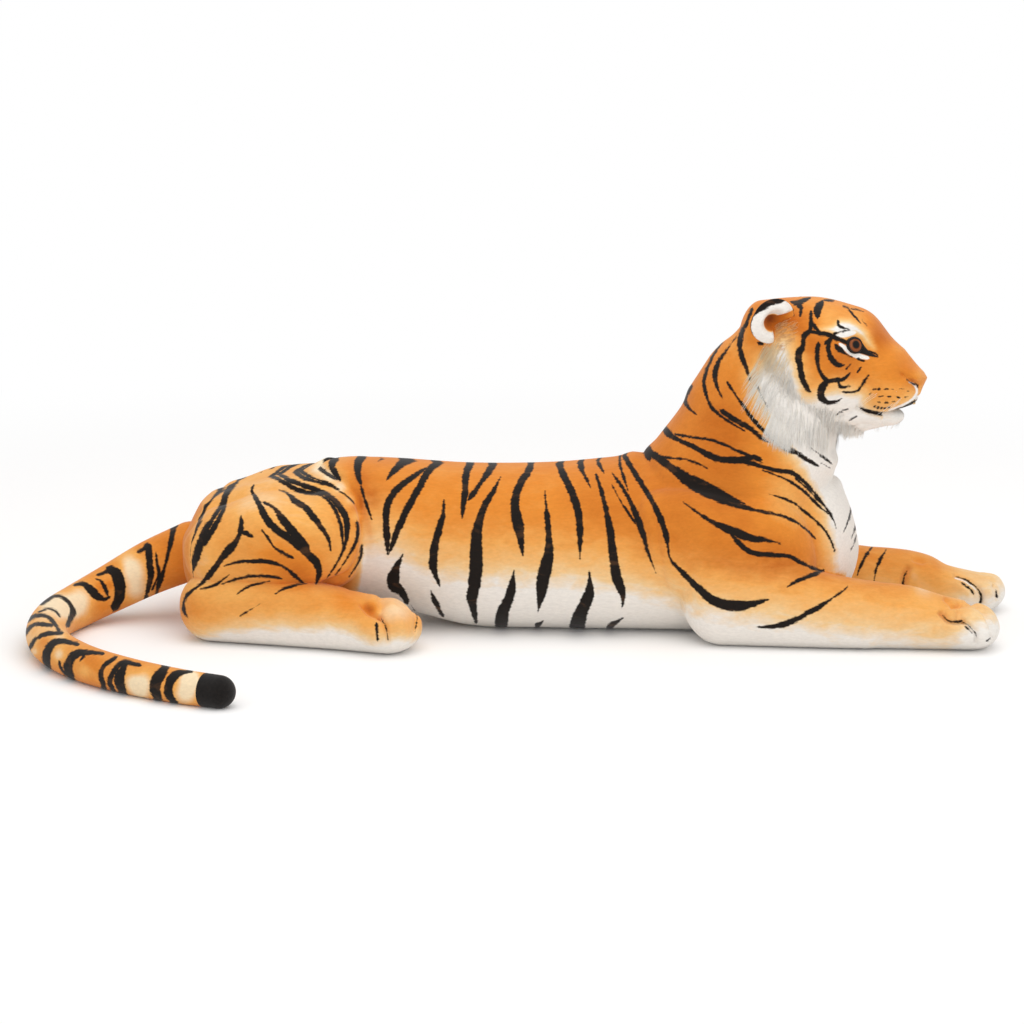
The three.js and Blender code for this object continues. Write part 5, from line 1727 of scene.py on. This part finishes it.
@dataclass(frozen=True)
class Tuft:
    """Locks of long pile, each hair a three-sided tapering strand."""

    length: tuple[float, float]
    radius: float
    lift: float
    droop: float
    steps: int = 5

    def grow(self, roots: Array, normals: Array, flow: Array, rng: np.random.Generator,
             room: Array | float = 1.0) -> Skin:
        """Grows the hairs.

        At t from 0 to 1 a hair is root + L (t flow + lift (t - 0.6 t^2) normal - droop t^2 Z), with its tip
        drawn towards its lock's own tip, and its radius shrinks by 1 - t^2.

        Args:
            roots: where each hair starts.
            normals: the cloth's outward direction there.
            flow: the direction in which the pile lies there.
            rng: the seeded generator.
            room: the most that each hair may measure.

        Returns:
            The hairs as one skin.
        """
        count = len(roots)
        length = np.minimum(rng.uniform(*self.length, count), room)[:, None, None]
        t = np.linspace(0, 1, self.steps)[None, :, None]
        side = unit(np.cross(flow, normals))
        wander = rng.normal(0, 0.09, (count, 1)) * side + rng.normal(0, 0.05, (count, 1)) * normals
        aim = (flow + wander)[:, None]
        lift = self.lift * rng.uniform(0.6, 1.5, count)[:, None, None]
        path = roots[:, None] + length * (t * aim + lift * (t - 0.6 * t**2) * normals[:, None])
        path = path - length * self.droop * t**2 * np.array([0, 0, 1.0])
        locks = max(count // 14, 1)
        seeds = rng.choice(count, locks, replace=False)
        lock = np.concatenate([
            np.linalg.norm(block[:, None] - roots[seeds], axis=-1).argmin(axis=1)
            for block in np.array_split(roots, max(count // 400, 1))
        ])
        pull = path[seeds[lock], -1][:, None] - path[:, -1:]
        path = path + pull * 0.4 * t**2
        ahead = unit(np.gradient(path, axis=1))
        across = unit(np.cross(ahead, normals[:, None]))
        above = np.cross(across, ahead)
        v = np.array([0, 2, 4]) * math.pi / 3
        thick = self.radius * (1 - 0.95 * t**2)
        ring = across[:, :, None] * np.cos(v)[:, None] + above[:, :, None] * np.sin(v)[:, None]
        points = path[:, :, None] + ring * thick[..., None]
        per = self.steps * 3
        last = (self.steps - 1) * 3
        one = tube_faces(self.steps, 3)[:last]
        one = np.concatenate([one, [[2, 1, 0, 0], [last, last + 1, last + 2, last + 2]]])
        faces = (one[None] + per * np.arange(count)[:, None, None]).reshape(-1, 4)
        skin = Skin(points.reshape(-1, 3), faces)
        skin.face_out()
        # Hairs shade mostly as the cloth they lie on, as fine pile does
        facing = normals * (1, 1, .35) + (0, 0, .25)
        skin.normals = unit(np.repeat(facing, per, axis=0) + 0.35 * skin.normals)
        return skin


@dataclass
class LongPile:
    """The ruff behind the cheeks, the tufts of chin, throat and ears, and whiskers."""

    # Where the ruff grows, as a field in the photograph
    ruff_px: tuple = table(
        "768,340 780,342 789,352 796,386 806,400 824,402 842,410 852,424 838,432 "
        "820,436 800,434 784,426 771,412 761,396 754,380 758,358")
    throat_px: tuple = table("838,428 848,424 862,426 862,434 848,442 838,440")
    muzzle_px: tuple = table("872,392 904,390 904,404 880,406")
    ear_px: tuple = table("778,322 790,318 800,322 797,340 788,352 779,350 777,338")
    # A point of the collar in pixels and its fall a pixel forward
    collar: Triple = (767, 440, .36)
    rng: np.random.Generator = field(default_factory=lambda: np.random.default_rng(SEED))

    def roots(self, skin: Skin, body: StuffedBody, polygon: tuple, count: int, seen: float = 0.25) -> Array:
        """Point numbers inside a field, on cloth that faces sideways enough."""
        pixels = body.pixels(skin.points)
        sideways = np.abs(HEAD_PLACE.read(skin.normals + np.array(HEAD_PLACE.origin))[:, 1])
        good = np.flatnonzero((inside_distance(pixels, polygon) > 0) & (sideways > seen))
        return self.rng.choice(good, count) if len(good) else good

    def flow(self, skin: Skin, pick: Array, pixels: Array) -> Array:
        """The way the ruff lies: down and back near the ear, straight down lower and further forward."""
        share = np.clip((pixels[:, 0] - 760) / 60 + (pixels[:, 1] - 350) / 160, 0, 1)[:, None]
        down = unit(np.concatenate([-0.62 + 0.62 * share, 0 * share, -0.8 + 0 * share], axis=1))
        normals = skin.normals[pick]
        return unit(down - normals * (down * normals).sum(axis=1, keepdims=True))

    def tie(self, skin: Skin, name: str, material: Material, body: StuffedBody, carrier: str,
            warmth: Array, *nodes: str) -> None:
        """Makes one piece of hair and gives it the same tie or baked transform as the cloth under it."""
        thing = skin.to_object(name)
        write_attribute(thing, "warmth", np.repeat(warmth, len(skin.points) // len(warmth)))
        dress(thing, material, "white_plush", *nodes)
        body.bend(thing, carrier)

    def build(self, parts: dict[str, Skin], body: StuffedBody, chin: Skin, hair: Material) -> None:
        """Grows the ruff, the tufts and the whiskers."""
        rng = self.rng
        ruff = Tuft(length=(.022, .044), radius=.00034, lift=.16, droop=.06)
        for carrier, count in (("head", 2300), ("neck", 1300)):
            skin = parts[carrier]
            pick = self.roots(skin, body, self.ruff_px, count)
            pixels = body.pixels(skin.points[pick])
            warmth = smoothstep((378 - pixels[:, 1]) / 34) + 0.3 * smoothstep((770 - pixels[:, 0]) / 20)
            roots = skin.points[pick] + rng.uniform(-1.6, 1.6, (len(pick), 3)) * MM - skin.normals[pick] * MM
            # No hair hangs below the collar, which runs down from the nape to the throat
            x, y, fall = self.collar
            room = (y + (pixels[:, 0] - x) * fall - pixels[:, 1]) * PHOTO.metres_a_pixel
            flow = self.flow(skin, pick, pixels)
            room = np.maximum(room * rng.uniform(.8, 1.4, len(pick)), .006)
            made = ruff.grow(roots, skin.normals[pick], flow, rng, room)
            nodes = ("right_cheek_ruff", "left_cheek_ruff") if carrier == "head" else ()
            warmth = warmth + rng.normal(0, .12, len(pick))
            self.tie(made, f"cheek_ruff_on_{carrier}", hair, body, carrier, warmth, *nodes)
        head = parts["head"]
        throat = self.roots(head, body, self.throat_px, 420, 0.0)
        ear = self.roots(head, body, self.ear_px, 260)
        whiskers = self.roots(head, body, self.muzzle_px, 14, 0.5)
        beard = rng.choice(np.flatnonzero(chin.normals[:, 2] < -0.45), 60)
        for name, skin, pick, aim, spread, tuft, warm in (
            ("beard", chin, beard, (-.3, 0, -1), .18, Tuft((.004, .011), .00020, 0, 0, 4), 0.0),
            ("throat_tuft", head, throat, (-.15, 0, -1), .14, Tuft((.010, .022), .00030, 0, 0, 4), 0.0),
            ("ear_tuft", head, ear, (-.6, 0, -.35), .2, Tuft((.006, .012), .00026, .3, 0, 4), 2.2),
            ("whiskers", head, whiskers, (-.8, 0, -.5), .10, Tuft((.040, .070), .00020, .35, .08, 8), 0.0),
        ):
            way = np.tile(aim, (len(pick), 1)) + rng.normal(0, spread, (len(pick), 3))
            made = tuft.grow(skin.points[pick], skin.normals[pick], unit(way), rng)
            self.tie(made, name, hair, body, "head", warm + rng.normal(0, .1, len(pick)))


@dataclass(frozen=True)
class Studio:
    """A pale floor, an even white surround, one broad soft lamp overhead and a weaker one in front."""

    floor_half: float = 30.0
    world_strength: float = 0.74
    # Each lamp's place, watts and size
    lamps: tuple = (("overhead", (0.2, -0.5, 2.6), 34.0, 3.0), ("front_fill", (1.2, -3.2, 1.6), 14.0, 2.5))
    aim: Triple = (0, 0, 0.15)

    def build(self) -> None:
        """Adds the floor, the world and the lamps."""
        mesh = bpy.data.meshes.new("floor")
        half = self.floor_half
        corners = [(-half, -half, 0), (half, -half, 0), (half, half, 0), (-half, half, 0)]
        mesh.from_pydata(corners, [], [(0, 1, 2, 3)])
        floor = bpy.data.objects.new("floor", mesh)
        bpy.context.collection.objects.link(floor)
        mesh.materials.append(PaperFinish().make())
        world = bpy.data.worlds.new("studio")
        bpy.context.scene.world = world
        world.use_nodes = True
        tree = world.node_tree
        tree.nodes.clear()
        lit, seen = (node(tree, "Background", {"Color": (1, 1, 1, 1), "Strength": strength})
                     for strength in (self.world_strength, 1.0))
        camera_ray = node(tree, "LightPath").outputs["Is Camera Ray"]
        node(tree, "OutputWorld", {0: node(tree, "MixShader", {0: camera_ray, 1: lit, 2: seen})})
        for name, place, watts, size in self.lamps:
            data = bpy.data.lights.new(name, "AREA")
            data.energy, data.size = watts, size
            lamp = bpy.data.objects.new(name, data)
            lamp.location = place
            lamp.rotation_euler = (Vector(self.aim) - Vector(place)).to_track_quat("-Z", "Y").to_euler()
            bpy.context.collection.objects.link(lamp)


def main() -> None:
    """Builds the studio and the toy, piece by piece."""
    logging.basicConfig(level=logging.INFO, format="%(name)s: %(message)s")
    bpy.context.scene.view_settings.view_transform = "Standard"
    PHOTO.stand()
    Studio().build()
    cloth = PlushFinish("printed_short_pile_plush").make()
    cap = PlainFinish("black_short_pile_plush", "#120F0E", "#1E1A18", 2.0, 0.95, 0.15).make()
    felt = PlainFinish("pressed_black_felt", "#171311", "#262120", 1.2, 0.95, 0.1, 0.3).make()
    hair = HairFinish().make()
    body = StuffedBody()
    parts = body.build(cloth)
    for side in Side:
        HindFoot(side).build(cloth)
    Tail().build(cloth, cap)
    for side in Side:
        Ear(side).build(cloth)
        Eye(side).build(felt, parts["head"])
    chin = Chin().build(cloth)
    LongPile().build(parts, body, chin, hair)


if __name__ == "__main__":
    main()
